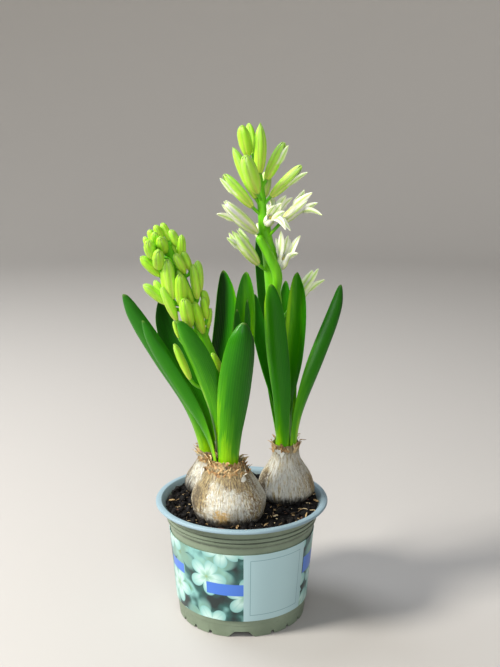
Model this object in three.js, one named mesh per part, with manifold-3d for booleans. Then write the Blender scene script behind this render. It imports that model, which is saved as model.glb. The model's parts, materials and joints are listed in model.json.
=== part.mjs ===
// Potted hyacinths: three bulbs in a plastic nursery pot with a printed sleeve, potting soil,
// fifteen leaves, one dense spike of buds and one spike that is opening. Millimetres, +Z up.
// The sizes below are measured from the pot's axis at its foot, +X to the right and -Y towards the
// viewer. The finished group is then moved so that the origin lies below the middle of the whole plant.
import * as THREE from 'three';
import * as BufferGeometryUtils from 'three/addons/utils/BufferGeometryUtils.js';
import Module from 'manifold-3d';

const wasm = await Module();
wasm.setup();

// Pot
const potHeight = 84;
const potFootRadius = 44.5;
const potWall = 1.3;
const potRimRadius = 60;
const potRimInner = 55.5;
const potLipHeight = 2.3;
const potFloorUnderside = 4.2;
const potFloorTop = 5.6;
const potSides = 40;
const wallCone = { low: [45.4, 9.6], high: [50.4, 66.5] };
const potCollar = [[50.4, 68.6], [52.3, 70.4], [52.7, 74.8], [53.2, 78.2], [54.6, 80.4]];
const potInside = [[43.8, 5.6], [49.1, 66.5], [50.1, 77.5], [54.4, 81.6], [55.2, 83.2]];
const wideNotch = { width: 18.5, top: 8.8, height: 4.4, count: 4 };
const smallNotch = { width: 3.2, top: 1.6, height: 2.6, turns: [28.5, 45, 61.5] };
const drainHole = { radius: 4, ring: 26, count: 6, turn: 30 };

// Distance from the pot's axis to the middle of the whole plant, which leans to the left
const plantMiddle = -4.7;

// Sleeve
const sleeveBottom = 13;
const sleeveTop = 63;
const sleeveThickness = 0.5;

// Clearance between pieces that touch
const seat = 0.3;

// Soil
const soilLevel = 77;
const soilRelief = 0.56;
const soilMound = 1.4;
const soilDish = 3.4;
const soilRings = [12, 24, 35, 45];
const soilEdge = [[52.7, 80.8], [49.6, 77.6], [48.6, 66.5], [43.3, 5.9]];
const chips = { count: 16, reach: 47, small: 1.6, spread: 1.8 };

// Bulbs: centre of the body, centre of the neck, and the outline as radius and height
const bulbs = {
  front: {
    body: [-8.4, -18], neck: [-9.6, -18], floor: 110, twist: 0.2,
    flaps: { count: 7, reach: 3.4, lean: 2.6 },
    outline: [
      [9, 66], [15.5, 69], [19, 73.5], [23.4, 79.5], [25.2, 87.5], [24.4, 93.5], [21, 100.5], [17.8, 106],
      [14.6, 111], [11.4, 114], [10.8, 117],
    ],
  },
  left: {
    body: [-22, 25.6], neck: [-22, 25.4], floor: 104.5, twist: 1.1,
    flaps: { count: 5, reach: 2.6, lean: 1.4 },
    outline: [
      [7, 60.5], [11.5, 65], [13.2, 74], [14.2, 77], [16.6, 79.5], [19.7, 83.5], [18.5, 89],
      [16, 93.2], [12.8, 98], [10.2, 102.5], [9.6, 106], [9.5, 111],
    ],
  },
  right: {
    body: [31.7, 11.1], neck: [31, 15], floor: 112, twist: 2.3,
    flaps: { count: 5, reach: 2, lean: 0.8 },
    outline: [
      [7, 62], [11.5, 67], [13.4, 74], [14.2, 77.5], [17.6, 80.5], [20, 84.5], [19.7, 89],
      [18, 94.5], [15.6, 99], [12.8, 103.5], [10, 109], [9.4, 118.5],
    ],
  },
};
const bulbSides = 16;
const bulbRibs = 7;
const bulbRibSwell = 0.0175;
const flapThickness = 0.8;
const flapRoot = 4;

// Leaves: ring and turn place the foot in the neck, spread is half of its sheath angle, width is the
// widest, through holds the centre line at one and two thirds, faces is where the hollow face looks,
// arc is half of the angle that the blade is rolled through
const leafThickness = 1.4;
const leafTipThickness = 1.1;
const leafEdge = 0.8;
const leafTipHalfWidth = 0.9;
const leafStations = 9;
const leafColumns = 5;
const leafTipArc = 30;
const leafStationShift = 1.35;
const outerRing = { front: 7.8, left: 7.5, right: 7.4 };
const innerRing = { front: 5.7, left: 5.4, right: 5.3 };
const leaves = [
  { name: 'leaf_front_broad', plant: 'front', ring: outerRing, turn: -80, spread: 54, width: 24.5, faces: 100,
    through: [[-6.1, -32.5, 150], [-1.7, -40, 185]], tip: [2.3, -41, 217.5] },
  { name: 'leaf_front_side', plant: 'front', ring: outerRing, turn: 192, spread: 26, width: 12, faces: 60,
    through: [[-28, -25, 148], [-47.4, -27, 182]], tip: [-63.9, -29, 216] },
  { name: 'leaf_front_left', plant: 'front', ring: innerRing, turn: 232, spread: 44, width: 17, faces: 75,
    through: [[-16.6, -27, 154], [-25, -36.5, 188]], tip: [-39.7, -44, 219] },
  { name: 'leaf_front_back', plant: 'front', ring: outerRing, turn: 62, spread: 34, width: 17, faces: 262,
    through: [[-2.2, -8.8, 156], [1.6, -7, 201]], tip: [3.5, -7, 244.5] },
  { name: 'leaf_front_inner', plant: 'front', ring: innerRing, turn: -4, spread: 30, width: 8, faces: 225,
    through: [[1.1, -18.8, 151.5], [4.2, -18, 190.5]], tip: [4.8, -18, 228] },
  { name: 'leaf_front_slim', plant: 'front', ring: innerRing, turn: 98, spread: 34, width: 8, faces: 270,
    through: [[-3.6, -13, 150], [-1.8, -14, 186]], tip: [-2.7, -15, 221] },
  { name: 'leaf_left_outer', plant: 'left', ring: outerRing, turn: 225, spread: 58, width: 16, faces: 70,
    through: [[-39.9, 8, 153], [-60.3, 2, 192]], tip: [-79.1, -2, 228] },
  { name: 'leaf_left_back', plant: 'left', ring: outerRing, turn: 117, spread: 46, width: 19, faces: 300,
    through: [[-32.9, 30, 143.5], [-48.5, 36, 179]], tip: [-58.8, 40, 216] },
  { name: 'leaf_left_tall', plant: 'left', ring: outerRing, turn: 15, spread: 40, width: 19, faces: 252,
    arc: 48, through: [[-16.1, 22, 151], [-11, 24, 195.5]], tip: [-12.6, 26, 240] },
  { name: 'leaf_right_front', plant: 'right', ring: outerRing, turn: -112, spread: 36, width: 17, faces: 80,
    through: [[26.4, 2, 159.5], [23, -1, 199]], tip: [19.4, -3, 235] },
  { name: 'leaf_right_outer', plant: 'right', ring: outerRing, turn: -38, spread: 30, width: 12.5, faces: 105,
    through: [[44.5, 8, 159.5], [59, 18, 195.5]], tip: [69.6, 30, 229] },
  { name: 'leaf_right_side', plant: 'right', ring: innerRing, turn: 18, spread: 38, width: 18, faces: 245,
    arc: 45, through: [[34.7, 22.5, 157], [38.2, 20, 198.5]], tip: [38.4, 15, 240.5] },
  { name: 'leaf_right_dark', plant: 'right', ring: outerRing, turn: 172, spread: 26, width: 12, faces: 290,
    through: [[22.7, 21, 151.5], [13.5, 23, 191]], tip: [8.6, 24, 223.5] },
  { name: 'leaf_right_back', plant: 'right', ring: outerRing, turn: 56, spread: 26, width: 12, faces: 265,
    through: [[34.4, 31, 155.5], [31.8, 36, 193.5]], tip: [31.1, 40, 230] },
  { name: 'leaf_right_tall', plant: 'right', ring: outerRing, turn: 112, spread: 22, width: 13, faces: 280,
    through: [[22.3, 36, 159.5], [17.3, 42, 212]], tip: [11, 44, 262.5] },
];

// Flower stems: points of the centre line with the radius there
const frontStem = [
  [-9.6, -18, 110.3, 4.2], [-10.8, -19, 139, 4.4], [-12.8, -20, 160, 4.4], [-15.9, -22, 180, 4.2],
  [-22.9, -24, 199, 4], [-32.6, -28, 229.5, 3.6], [-40, -31.2, 250, 3], [-46.2, -34.3, 266, 2.2],
];
const rightStem = [
  [31, 15, 112.3, 4], [28.9, 15, 149.5, 4.6], [24.5, 15, 193, 5], [22.2, 15, 221, 5.2], [19.3, 14, 251, 5],
  [16.6, 14, 262.5, 4.6], [14.5, 13.5, 282, 3.6], [13, 13, 294, 2.9], [11, 12.5, 309, 2.2],
  [8, 12, 319, 1.4],
];
const stemSides = 8;
const budSides = 5;
const budEnd = 0.32;

// Buds of the dense spike: height on the stem, base, tip, width
const frontBuds = [
  [240, [-51.5, -32.5, 246.5], [-62.5, -37, 259], 6.4],
  [221, [-48, -30, 228], [-61.5, -35, 241], 6],
  [224, [-49, -26, 229], [-55.5, -23, 241.5], 5],
  [208, [-41.5, -30.5, 217.5], [-49.5, -38.5, 240], 6],
  [226, [-43.5, -33.5, 232], [-45.5, -44, 258.5], 7.8],
  [227, [-46.5, -30.5, 232], [-49, -35.5, 255.5], 5.6],
  [247, [-51.5, -37.5, 252], [-50, -53, 265], 7.4],
  [253, [-54, -39, 258.5], [-56.5, -50.5, 270.5], 7.4],
  [258, [-47.5, -38.5, 262.5], [-49, -50.5, 272.5], 7],
  [263, [-53.5, -37.5, 267.5], [-53, -42.5, 275], 4.8],
  [264, [-55, -34.5, 268], [-56.5, -36.5, 276], 4],
  [258, [-57, -34, 263], [-60.5, -32.5, 271], 3.6],
  [264, [-49.5, -34.5, 269.5], [-53.5, -34.5, 278.5], 4.8],
  [263, [-44.5, -32.5, 269], [-49.5, -31.5, 279.5], 4.6],
  [257, [-39, -32, 264.5], [-44, -34.5, 275.5], 5.4],
  [250, [-41, -31, 255.5], [-46.5, -29.5, 270.5], 5.6],
  [248, [-37.5, -32.5, 255], [-37, -34.5, 272.5], 5.4],
  [244, [-32, -32, 250], [-36, -36.5, 262], 5],
  [243, [-35.5, -36, 249], [-40.5, -44.5, 262], 5.6],
  [226, [-27.5, -31.5, 231.5], [-30, -36, 254], 5.6],
  [228, [-26.5, -26, 235], [-27.5, -27, 255], 6.2],
  [221, [-37.5, -33.5, 227.5], [-37.5, -45, 249.5], 7.8],
  [222, [-31, -29.5, 228], [-39.5, -37.5, 250.5], 5],
  [206, [-32.5, -32, 213.5], [-35.5, -43.5, 233.5], 8.4],
  [203, [-24.5, -29, 208.5], [-29.5, -36, 230], 6.2],
  [211, [-22, -27.5, 217.5], [-24, -30.5, 232], 5],
  [218, [-22, -24.5, 224.5], [-24.5, -25, 235.5], 5],
  [202, [-21.5, -25.5, 210], [-19.5, -26.5, 224], 3],
  [196, [-40, -25, 204], [-43.5, -26, 215.5], 3.4],
  [214, [-36, -19, 222], [-42, -11, 240], 6],
  [232, [-44, -23, 240], [-51, -15, 256], 6],
  [242, [-40, -25, 249], [-41, -17, 265], 5.8],
  [252, [-47, -29, 259], [-53, -22, 269], 5.2],
];
const lowBuds = [
  [168, [-33.5, -25.5, 176.5], [-43, -31.5, 201.5], 4.8],
  [175, [-13, -25, 181.5], [-19, -27.5, 194.5], 4.4],
];

// Florets of the opening spike: height on the stem, base, tip of the tube, width, share of the width
// left at the tip, where along the tube the free petals part from it, and the free petals' tips
const rightFlorets = [
  [312, [4.5, 8, 319], [0.5, 3, 338.5], 9, 0.22, 1, []],
  [313, [8.5, 14, 319], [5, 18, 339.5], 6.6, 0.22, 1, []],
  [302, [12, 8, 308], [12.5, 6, 340], 9, 0.1, 1, []],
  [284, [9.5, 12, 291], [-5.5, 14, 324], 8, 0.22, 1, []],
  [289, [10.5, 5, 295.5], [2.5, -9, 320], 10.8, 0.3, 1, []],
  [296, [17, 13, 303.5], [28.5, 13, 327], 9, 0.45, 0.5, [[31, 10, 325.5]]],
  [284, [20, 10, 292.5], [39.5, 5, 312.5], 8, 0.45, 0.5, [[43.5, 3, 308.5]]],
  [278, [7, 10, 285.5], [-11.5, 7, 306.5], 8.6, 0.45, 0.5, [[-14, 5, 304.5]]],
  [261, [10, 9, 268.5], [-11.5, 2, 288.5], 9.6, 0.55, 0.5, [[-16, 0, 281.5]]],
  [241, [11, 8, 247.5], [-5.5, 3, 269.5], 9.4, 0.6, 0.55, [[-8, 1, 269], [-9.5, 0, 266], [-1.5, 6, 271.5]]],
  [262, [27.5, 6, 276], [43.5, 2, 291], 8, 0.6, 0.5,
    [[46.5, 0, 295.5], [41.5, 3, 297], [50, -1, 289], [53, -2, 281]]],
  [266, [16.5, 8, 273.5], [20.5, 5, 279.5], 7, 0.8, 0.8,
    [[22, 3, 287], [26.5, 1, 288.5], [28.5, -2, 283.5], [29, -7, 272], [32.5, -1, 270.5]]],
  [270, [20, 17, 277.5], [23.5, 20, 283], 7, 0.8, 0.8,
    [[29, 26, 290.5], [34.5, 24, 290], [21, 28, 286], [31, 31, 283]]],
  [234, [26.5, 12, 243.5], [29, 11, 253], 8, 0.8, 0.7,
    [[26.5, 8, 269.5], [23, 12, 264], [31.5, 14, 265.5], [39.5, 10, 266], [38, 6, 254.5]]],
  [204, [34, 23.5, 214], [49.5, 25, 236], 8.4, 0.6, 0.6,
    [[49, 22, 240.5], [53, 25, 241], [57.5, 24, 233.5]]],
  [250, [17, 22, 257], [11, 35, 270], 8.6, 0.6, 0.6, [[6.5, 38, 269], [12, 40, 267]]],
  [284, [15, 20, 291], [17.5, 32, 307], 8.4, 0.4, 1, []],
];
const stalkRadius = 0.9;
const stalkSides = 3;
const petalHalf = 1.9;
const petalHalves = [0.7, 1, 0.9, 0.3];
const petalThickness = 0.9;

// Side branch that carries one floret across the front of the opening spike
const branch = [[23.5, 12, 226, 3], [24, 8.5, 240, 3.5], [18.5, 7, 253, 3.4], [12.5, 6.5, 264, 2.9]];

const paints = {
  pot: { color: 0x8f9a86, roughness: 0.55 },
  sleeve: { color: 0x7fb3ae, roughness: 0.35 },
  soil: { color: 0x1c1512, roughness: 0.95 },
  bulb: { color: 0xd8c7a4, roughness: 0.6 },
  leaf: { color: 0x2f8a1e, roughness: 0.32 },
  bud: { color: 0x9ad82a, roughness: 0.45 },
  floret: { color: 0xd9e59a, roughness: 0.5 },
};

const radians = THREE.MathUtils.degToRad;
const smooth = (t) => t * t * (3 - 2 * t);

function seededRandom(seed) {
  let state = seed;
  return () => {
    state = (state * 1664525 + 1013904223) % 4294967296;
    return state / 4294967296;
  };
}

// A direction from its turn round +Z and its rise above level
function heading(turn, rise = 0) {
  const level = Math.cos(radians(rise));
  return new THREE.Vector3(
    Math.cos(radians(turn)) * level,
    Math.sin(radians(turn)) * level,
    Math.sin(radians(rise)),
  );
}

// A solid from points and triangles, turned outside out if it was wound inwards
function solidOf(points, triangles) {
  let volume = 0;
  for (const [a, b, c] of triangles) {
    volume += points[a].dot(new THREE.Vector3().crossVectors(points[b], points[c]));
  }
  const wound = volume < 0 ? triangles.map(([a, b, c]) => [a, c, b]) : triangles;
  return new wasm.Manifold(new wasm.Mesh({
    numProp: 3,
    vertProperties: new Float32Array(points.flatMap((p) => [p.x, p.y, p.z])),
    triVerts: new Uint32Array(wound.flat()),
  }));
}

// A solid from a closed three.js geometry
function solidFromGeometry(geometry) {
  const bare = geometry.clone();
  bare.deleteAttribute('normal');
  bare.deleteAttribute('uv');
  const merged = BufferGeometryUtils.mergeVertices(bare, 1e-4);
  const place = merged.getAttribute('position');
  const points = [];
  for (let i = 0; i < place.count; i += 1) {
    points.push(new THREE.Vector3().fromBufferAttribute(place, i));
  }
  const order = merged.getIndex().array;
  const triangles = [];
  for (let i = 0; i < order.length; i += 3) {
    const [a, b, c] = [order[i], order[i + 1], order[i + 2]];
    if (a !== b && b !== c && c !== a) {
      triangles.push([a, b, c]);
    }
  }
  return solidOf(points, triangles);
}

// Revolves an outline of radius and height round +Z
function revolve(outline, sides) {
  const points = outline.map(([radius, height]) => new THREE.Vector2(radius, height));
  return new THREE.LatheGeometry(points, sides).rotateX(Math.PI / 2);
}

// A thick sheet between two grids of points, split into triangles alike on both faces
function sheet(face, back) {
  const rows = face.length;
  const columns = face[0].length;
  const points = [...face.flat(), ...back.flat()];
  const at = (side, i, j) => (side * rows + i) * columns + j;
  const triangles = [];
  for (let i = 0; i < rows - 1; i += 1) {
    for (let j = 0; j < columns - 1; j += 1) {
      const [a, b, c, d] = [at(0, i, j), at(0, i + 1, j), at(0, i + 1, j + 1), at(0, i, j + 1)];
      const [e, f, g, h] = [at(1, i, j), at(1, i + 1, j), at(1, i + 1, j + 1), at(1, i, j + 1)];
      triangles.push([a, b, c], [a, c, d], [e, g, f], [e, h, g]);
    }
  }
  for (let i = 0; i < rows - 1; i += 1) {
    const last = columns - 1;
    triangles.push([at(0, i, 0), at(1, i, 0), at(1, i + 1, 0)]);
    triangles.push([at(0, i, 0), at(1, i + 1, 0), at(0, i + 1, 0)]);
    triangles.push([at(0, i, last), at(1, i + 1, last), at(1, i, last)]);
    triangles.push([at(0, i, last), at(0, i + 1, last), at(1, i + 1, last)]);
  }
  for (let j = 0; j < columns - 1; j += 1) {
    const last = rows - 1;
    triangles.push([at(0, 0, j), at(0, 0, j + 1), at(1, 0, j + 1)]);
    triangles.push([at(0, 0, j), at(1, 0, j + 1), at(1, 0, j)]);
    triangles.push([at(0, last, j), at(1, last, j + 1), at(0, last, j + 1)]);
    triangles.push([at(0, last, j), at(1, last, j), at(1, last, j + 1)]);
  }
  return solidOf(points, triangles);
}

// A round tapering body along points that each carry a radius
function taperedRod(stations, sides, steps) {
  const curve = new THREE.CatmullRomCurve3(stations.map(([x, y, z]) => new THREE.Vector3(x, y, z)));
  const points = [];
  const triangles = [];
  for (let i = 0; i <= steps; i += 1) {
    const t = i / steps;
    const along = t * (stations.length - 1);
    const k = Math.min(Math.floor(along), stations.length - 2);
    const radius = THREE.MathUtils.lerp(stations[k][3], stations[k + 1][3], along - k);
    const centre = curve.getPoint(t);
    const forward = curve.getTangent(t);
    const side = new THREE.Vector3().crossVectors(new THREE.Vector3(0, 1, 0), forward).normalize();
    const other = new THREE.Vector3().crossVectors(forward, side);
    for (let j = 0; j < sides; j += 1) {
      const angle = (j / sides) * 2 * Math.PI;
      points.push(centre.clone().addScaledVector(side, radius * Math.cos(angle))
        .addScaledVector(other, radius * Math.sin(angle)));
    }
  }
  const foot = points.push(curve.getPoint(0)) - 1;
  const top = points.push(curve.getPoint(1)) - 1;
  for (let j = 0; j < sides; j += 1) {
    const next = (j + 1) % sides;
    for (let i = 0; i < steps; i += 1) {
      triangles.push([i * sides + j, i * sides + next, (i + 1) * sides + next]);
      triangles.push([i * sides + j, (i + 1) * sides + next, (i + 1) * sides + j]);
    }
    triangles.push([foot, next, j], [top, steps * sides + j, steps * sides + next]);
  }
  return solidOf(points, triangles);
}

function largestPiece(solid) {
  return solid.decompose().sort((a, b) => b.volume() - a.volume())[0];
}

function unite(solids) {
  return solids.reduce((sum, solid) => sum.add(solid));
}

function potSolid() {
  const lipBottom = potHeight - potLipHeight;
  const outline = [
    [0, potFloorUnderside], [42.4, potFloorUnderside], [potFootRadius - potWall, 0], [potFootRadius, 0],
    wallCone.low, wallCone.high, ...potCollar, [potRimRadius, lipBottom], [potRimRadius, potHeight - 0.6],
    [potRimRadius - 0.7, potHeight], [potRimInner, potHeight], ...potInside.toReversed(), [0, potFloorTop],
  ];
  let pot = solidFromGeometry(revolve(outline, potSides));
  const depth = 12;
  const cut = (notch, turn) => {
    const [foot, top] = [notch.width / 2, notch.top / 2];
    const section = [
      [-foot, -1], [foot, -1], [foot, 0], [top, notch.height], [-top, notch.height], [-foot, 0],
    ];
    const shape = new THREE.Shape(section.map((corner) => new THREE.Vector2(...corner)));
    const bar = new THREE.ExtrudeGeometry(shape, { depth, bevelEnabled: false });
    bar.rotateX(Math.PI / 2).translate(0, depth / 2 - potFootRadius, 0).rotateZ(radians(turn));
    pot = pot.subtract(solidFromGeometry(bar));
  };
  for (let i = 0; i < wideNotch.count; i += 1) {
    const quarter = (i * 360) / wideNotch.count;
    cut(wideNotch, quarter);
    smallNotch.turns.forEach((turn) => cut(smallNotch, quarter + turn));
  }
  for (let i = 0; i < drainHole.count; i += 1) {
    const hole = new THREE.CylinderGeometry(drainHole.radius, drainHole.radius, 8, 10).rotateX(Math.PI / 2);
    const angle = radians(drainHole.turn + (i * 360) / drainHole.count);
    hole.translate(drainHole.ring * Math.cos(angle), drainHole.ring * Math.sin(angle), potFloorTop);
    pot = pot.subtract(solidFromGeometry(hole));
  }
  return pot;
}

// The wall is a straight cone where the sleeve wraps it
function sleeveSolid() {
  const inner = (height) => {
    const t = (height - wallCone.low[1]) / (wallCone.high[1] - wallCone.low[1]);
    return THREE.MathUtils.lerp(wallCone.low[0], wallCone.high[0], t) + seat;
  };
  const outer = (height) => inner(height) + sleeveThickness;
  const outline = [
    [inner(sleeveBottom), sleeveBottom], [outer(sleeveBottom), sleeveBottom],
    [outer(sleeveTop), sleeveTop], [inner(sleeveTop), sleeveTop], [inner(sleeveBottom), sleeveBottom],
  ];
  return solidFromGeometry(revolve(outline, potSides));
}

// A bulb's body, grown outwards by a margin where it cuts its own hollow in the soil
function bulbBody(bulb, margin) {
  const outline = bulb.outline.map(([radius, height]) => [radius + margin, height]);
  outline[0][1] -= margin;
  const low = outline[0][1];
  const high = outline[outline.length - 1][1];
  const body = revolve([[0, low], ...outline, [0, high]], bulbSides);
  const place = body.getAttribute('position');
  for (let i = 0; i < place.count; i += 1) {
    const [x, y, z] = [place.getX(i), place.getY(i), place.getZ(i)];
    const rise = smooth((z - low) / (high - low));
    const ribs = Math.sin(Math.atan2(y, x) * bulbRibs + bulb.twist) * bulbRibSwell;
    const swell = 1 + ribs * Math.sin(Math.PI * rise);
    place.setX(i, x * swell + THREE.MathUtils.lerp(bulb.body[0], bulb.neck[0], rise));
    place.setY(i, y * swell + THREE.MathUtils.lerp(bulb.body[1], bulb.neck[1], rise));
  }
  return solidFromGeometry(body);
}

// One torn papery scale that stands off the neck
function flapSolid(bulb, turn, reach, lean) {
  const [topRadius, topHeight] = bulb.outline[bulb.outline.length - 1];
  const face = [];
  const back = [];
  const rows = 3;
  for (let i = 0; i < rows; i += 1) {
    const t = i / (rows - 1);
    const radius = topRadius - 0.9 + lean * t * t;
    const height = topHeight - flapRoot + (flapRoot + reach) * t;
    const half = radians(20 - 12 * t);
    const row = (grow) => [-1, 0, 1].map((s) => new THREE.Vector3(
      bulb.neck[0] + (radius + grow) * Math.cos(radians(turn) + half * s),
      bulb.neck[1] + (radius + grow) * Math.sin(radians(turn) + half * s),
      height - 0.5 * lean * t * s * s,
    ));
    face.push(row(0));
    back.push(row(flapThickness));
  }
  return sheet(face, back);
}

function bulbSolid(plant, seed) {
  const bulb = bulbs[plant];
  const random = seededRandom(seed);
  const flaps = [];
  const { count, reach, lean } = bulb.flaps;
  for (let i = 0; i < count; i += 1) {
    const turn = ((i + 0.5 * random()) * 360) / count;
    flaps.push(flapSolid(bulb, turn, reach * random() + 0.8, lean * random() + 0.5));
  }
  const high = bulb.outline[bulb.outline.length - 1][1] + 8;
  const socket = outerRing[plant] + leafThickness / 2 + seat;
  const hollow = revolve([
    [0, bulb.floor], [socket, bulb.floor], [socket, high], [0, high],
  ], bulbSides).translate(bulb.neck[0], bulb.neck[1], 0);
  let solid = unite([bulbBody(bulb, 0), ...flaps]).subtract(solidFromGeometry(hollow));
  leaves.filter((leaf) => leaf.plant === plant).forEach((leaf) => {
    solid = solid.subtract(leafSolid(leaf, seat));
  });
  return largestPiece(solid);
}

// Height of the soil's crumbled surface, heaped a little against each bulb
function soilHeight(x, y) {
  const crumbs = Math.sin(x * 0.31 + 1.3 * Math.sin(y * 0.17))
    + Math.sin(y * 0.37 + 1.7 * Math.sin(x * 0.21));
  let heap = 0;
  for (const bulb of Object.values(bulbs)) {
    const away = Math.hypot(x - bulb.body[0], y - bulb.body[1]);
    heap = Math.max(heap, Math.exp(-((away / 26) ** 4)));
  }
  const dish = soilDish * ((Math.hypot(x, y) / soilEdge[0][0]) ** 4);
  return soilLevel + soilRelief * crumbs + soilMound * heap + dish;
}

function soilSolid() {
  const rings = soilRings.length + soilEdge.length;
  const segments = potSides;
  const points = [new THREE.Vector3(0, 0, soilHeight(0, 0))];
  const triangles = [];
  const ring = (radius, heightAt) => {
    for (let j = 0; j < segments; j += 1) {
      const angle = (j / segments) * 2 * Math.PI;
      const [x, y] = [radius * Math.cos(angle), radius * Math.sin(angle)];
      points.push(new THREE.Vector3(x, y, heightAt(x, y)));
    }
  };
  soilRings.forEach((radius) => ring(radius, soilHeight));
  soilEdge.forEach(([radius, height]) => ring(radius, () => height));
  const bottom = soilEdge[soilEdge.length - 1][1];
  const under = points.push(new THREE.Vector3(0, 0, bottom)) - 1;
  for (let j = 0; j < segments; j += 1) {
    const next = (j + 1) % segments;
    triangles.push([0, 1 + j, 1 + next]);
    for (let k = 0; k < rings - 1; k += 1) {
      const inner = 1 + k * segments;
      const outer = inner + segments;
      triangles.push([inner + j, outer + j, outer + next], [inner + j, outer + next, inner + next]);
    }
    const foot = 1 + (rings - 1) * segments;
    triangles.push([under, foot + next, foot + j]);
  }
  let soil = solidOf(points, triangles);
  const random = seededRandom(71);
  for (let i = 0; i < chips.count; i += 1) {
    const angle = random() * 2 * Math.PI;
    const radius = chips.reach * Math.sqrt(random());
    const chip = new THREE.TetrahedronGeometry(chips.small + chips.spread * random());
    chip.scale(1.5, 1, 0.8).rotateX(random() * 0.6).rotateZ(random() * 6.28);
    const [x, y] = [radius * Math.cos(angle), radius * Math.sin(angle)];
    soil = soil.add(solidFromGeometry(chip.translate(x, y, soilHeight(x, y) + 0.3)));
  }
  for (const bulb of Object.values(bulbs)) {
    soil = soil.subtract(bulbBody(bulb, seat + 0.1));
  }
  return largestPiece(soil);
}

// A strap leaf: a channelled blade that leaves the neck as part of a sheath and ends in a hooded tip
function leafSolid(leaf, margin = 0) {
  const bulb = bulbs[leaf.plant];
  const ring = leaf.ring[leaf.plant];
  const out = heading(leaf.turn);
  const foot = new THREE.Vector3(...bulb.neck, bulb.floor + seat).addScaledVector(out, ring);
  const [first, second] = leaf.through.map((p) => new THREE.Vector3(...p));
  const tip = new THREE.Vector3(...leaf.tip);
  const mix = (a, b, c, d) => foot.clone().multiplyScalar(a).addScaledVector(first, b)
    .addScaledVector(second, c).addScaledVector(tip, d);
  const handleA = mix(-5 / 6, 3, -1.5, 1 / 3);
  const handleB = mix(1 / 3, -1.5, 3, -5 / 6);
  const curve = new THREE.CubicBezierCurve3(foot, handleA, handleB, tip);
  const footHalf = ring * radians(leaf.spread);
  const face = [];
  const back = [];
  for (let i = 0; i < leafStations; i += 1) {
    const t = 1 - (1 - i / (leafStations - 1)) ** leafStationShift;
    const turnIn = smooth(Math.min(1, t / 0.55));
    const forward = i === 0 ? new THREE.Vector3(0, 0, 1) : curve.getTangent(t);
    const hollow = out.clone().multiplyScalar(-(1 - turnIn)).addScaledVector(heading(leaf.faces), turnIn);
    hollow.addScaledVector(forward, -hollow.dot(forward)).normalize();
    const side = new THREE.Vector3().crossVectors(forward, hollow);
    const taper = (1 - (Math.max(0, t - 0.5) / 0.5) ** 3) ** 0.5;
    const blade = THREE.MathUtils.lerp(footHalf, leaf.width / 2, turnIn) * taper;
    const half = Math.max(blade, leafTipHalfWidth) + margin;
    const arc = radians(THREE.MathUtils.lerp(leaf.spread, leaf.arc ?? leafTipArc, turnIn));
    const radius = half / arc;
    const thickness = THREE.MathUtils.lerp(leafThickness, leafTipThickness, t) + 2 * margin;
    const row = (sign) => Array.from({ length: leafColumns }, (_, j) => {
      const s = (2 * j) / (leafColumns - 1) - 1;
      const deep = radius + 0.5 * sign * THREE.MathUtils.lerp(thickness, leafEdge + 2 * margin, s * s);
      return curve.getPoint(t).addScaledVector(side, deep * Math.sin(arc * s))
        .addScaledVector(hollow, radius - deep * Math.cos(arc * s));
    });
    face.push(row(-1));
    back.push(row(1));
  }
  return sheet(face, back);
}

// A closed bud, or the closed tube of a floret, between its base and its tip
function floretBody(base, tip, width, end) {
  const half = width / 2;
  const along = tip.clone().sub(base);
  const length = along.length();
  const outline = [
    [0, 0], [half * 0.5, 0], [half * 0.85, 0.16 * length], [half, 0.42 * length],
    [half * (0.6 + 0.4 * end), 0.8 * length], [half * end, length], [0, length],
  ];
  const shape = revolve(outline, budSides);
  shape.applyQuaternion(
    new THREE.Quaternion().setFromUnitVectors(new THREE.Vector3(0, 0, 1), along.normalize()),
  );
  return solidFromGeometry(shape.translate(base.x, base.y, base.z));
}

// The thin stalk between the stem's middle and a bud's base, carried on a little into the bud
function stalkSolid(root, base, tip) {
  const end = base.clone().lerp(tip, 0.12);
  const stations = [root, root.clone().lerp(end, 0.5), end].map((p) => [p.x, p.y, p.z, stalkRadius]);
  return taperedRod(stations, stalkSides, 1);
}

// One free petal: it parts from the tube and curls outwards to its tip
function petalSolid(base, tip, width, part, end) {
  const along = tip.clone().sub(base).normalize();
  const away = end.clone().sub(base);
  const outward = away.clone().addScaledVector(along, -away.dot(along)).normalize();
  const start = base.clone().lerp(tip, part).addScaledVector(outward, width * 0.28);
  const reach = end.distanceTo(start);
  const bend = start.clone().addScaledVector(along, reach * 0.5).addScaledVector(outward, reach * 0.08);
  const curve = new THREE.QuadraticBezierCurve3(start, bend, end);
  const side = new THREE.Vector3().crossVectors(along, outward);
  const face = [];
  const back = [];
  petalHalves.forEach((share, i) => {
    const t = i / (petalHalves.length - 1);
    const place = curve.getPoint(t);
    const normal = new THREE.Vector3().crossVectors(side, curve.getTangent(t)).normalize();
    const half = share * petalHalf;
    const row = (shift) => [-half, half].map((s) => place.clone().addScaledVector(side, s)
      .addScaledVector(normal, shift));
    face.push(row(petalThickness / 2));
    back.push(row(-petalThickness / 2));
  });
  return sheet(face, back);
}

// The stem's centre at a height
function stemCentre(stem, height) {
  let k = 0;
  while (k < stem.length - 2 && stem[k + 1][2] < height) {
    k += 1;
  }
  const [a, b] = [stem[k], stem[k + 1]];
  const t = (height - a[2]) / (b[2] - a[2]);
  return new THREE.Vector3(a[0] + (b[0] - a[0]) * t, a[1] + (b[1] - a[1]) * t, height);
}

function frontSpikeSolid() {
  const parts = [taperedRod(frontStem, stemSides, 14)];
  for (const [height, foot, top, width] of [...frontBuds, ...lowBuds]) {
    const [base, tip] = [new THREE.Vector3(...foot), new THREE.Vector3(...top)];
    parts.push(stalkSolid(stemCentre(frontStem, height), base, tip));
    parts.push(floretBody(base, tip, width, budEnd));
  }
  return largestPiece(unite(parts));
}

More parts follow.
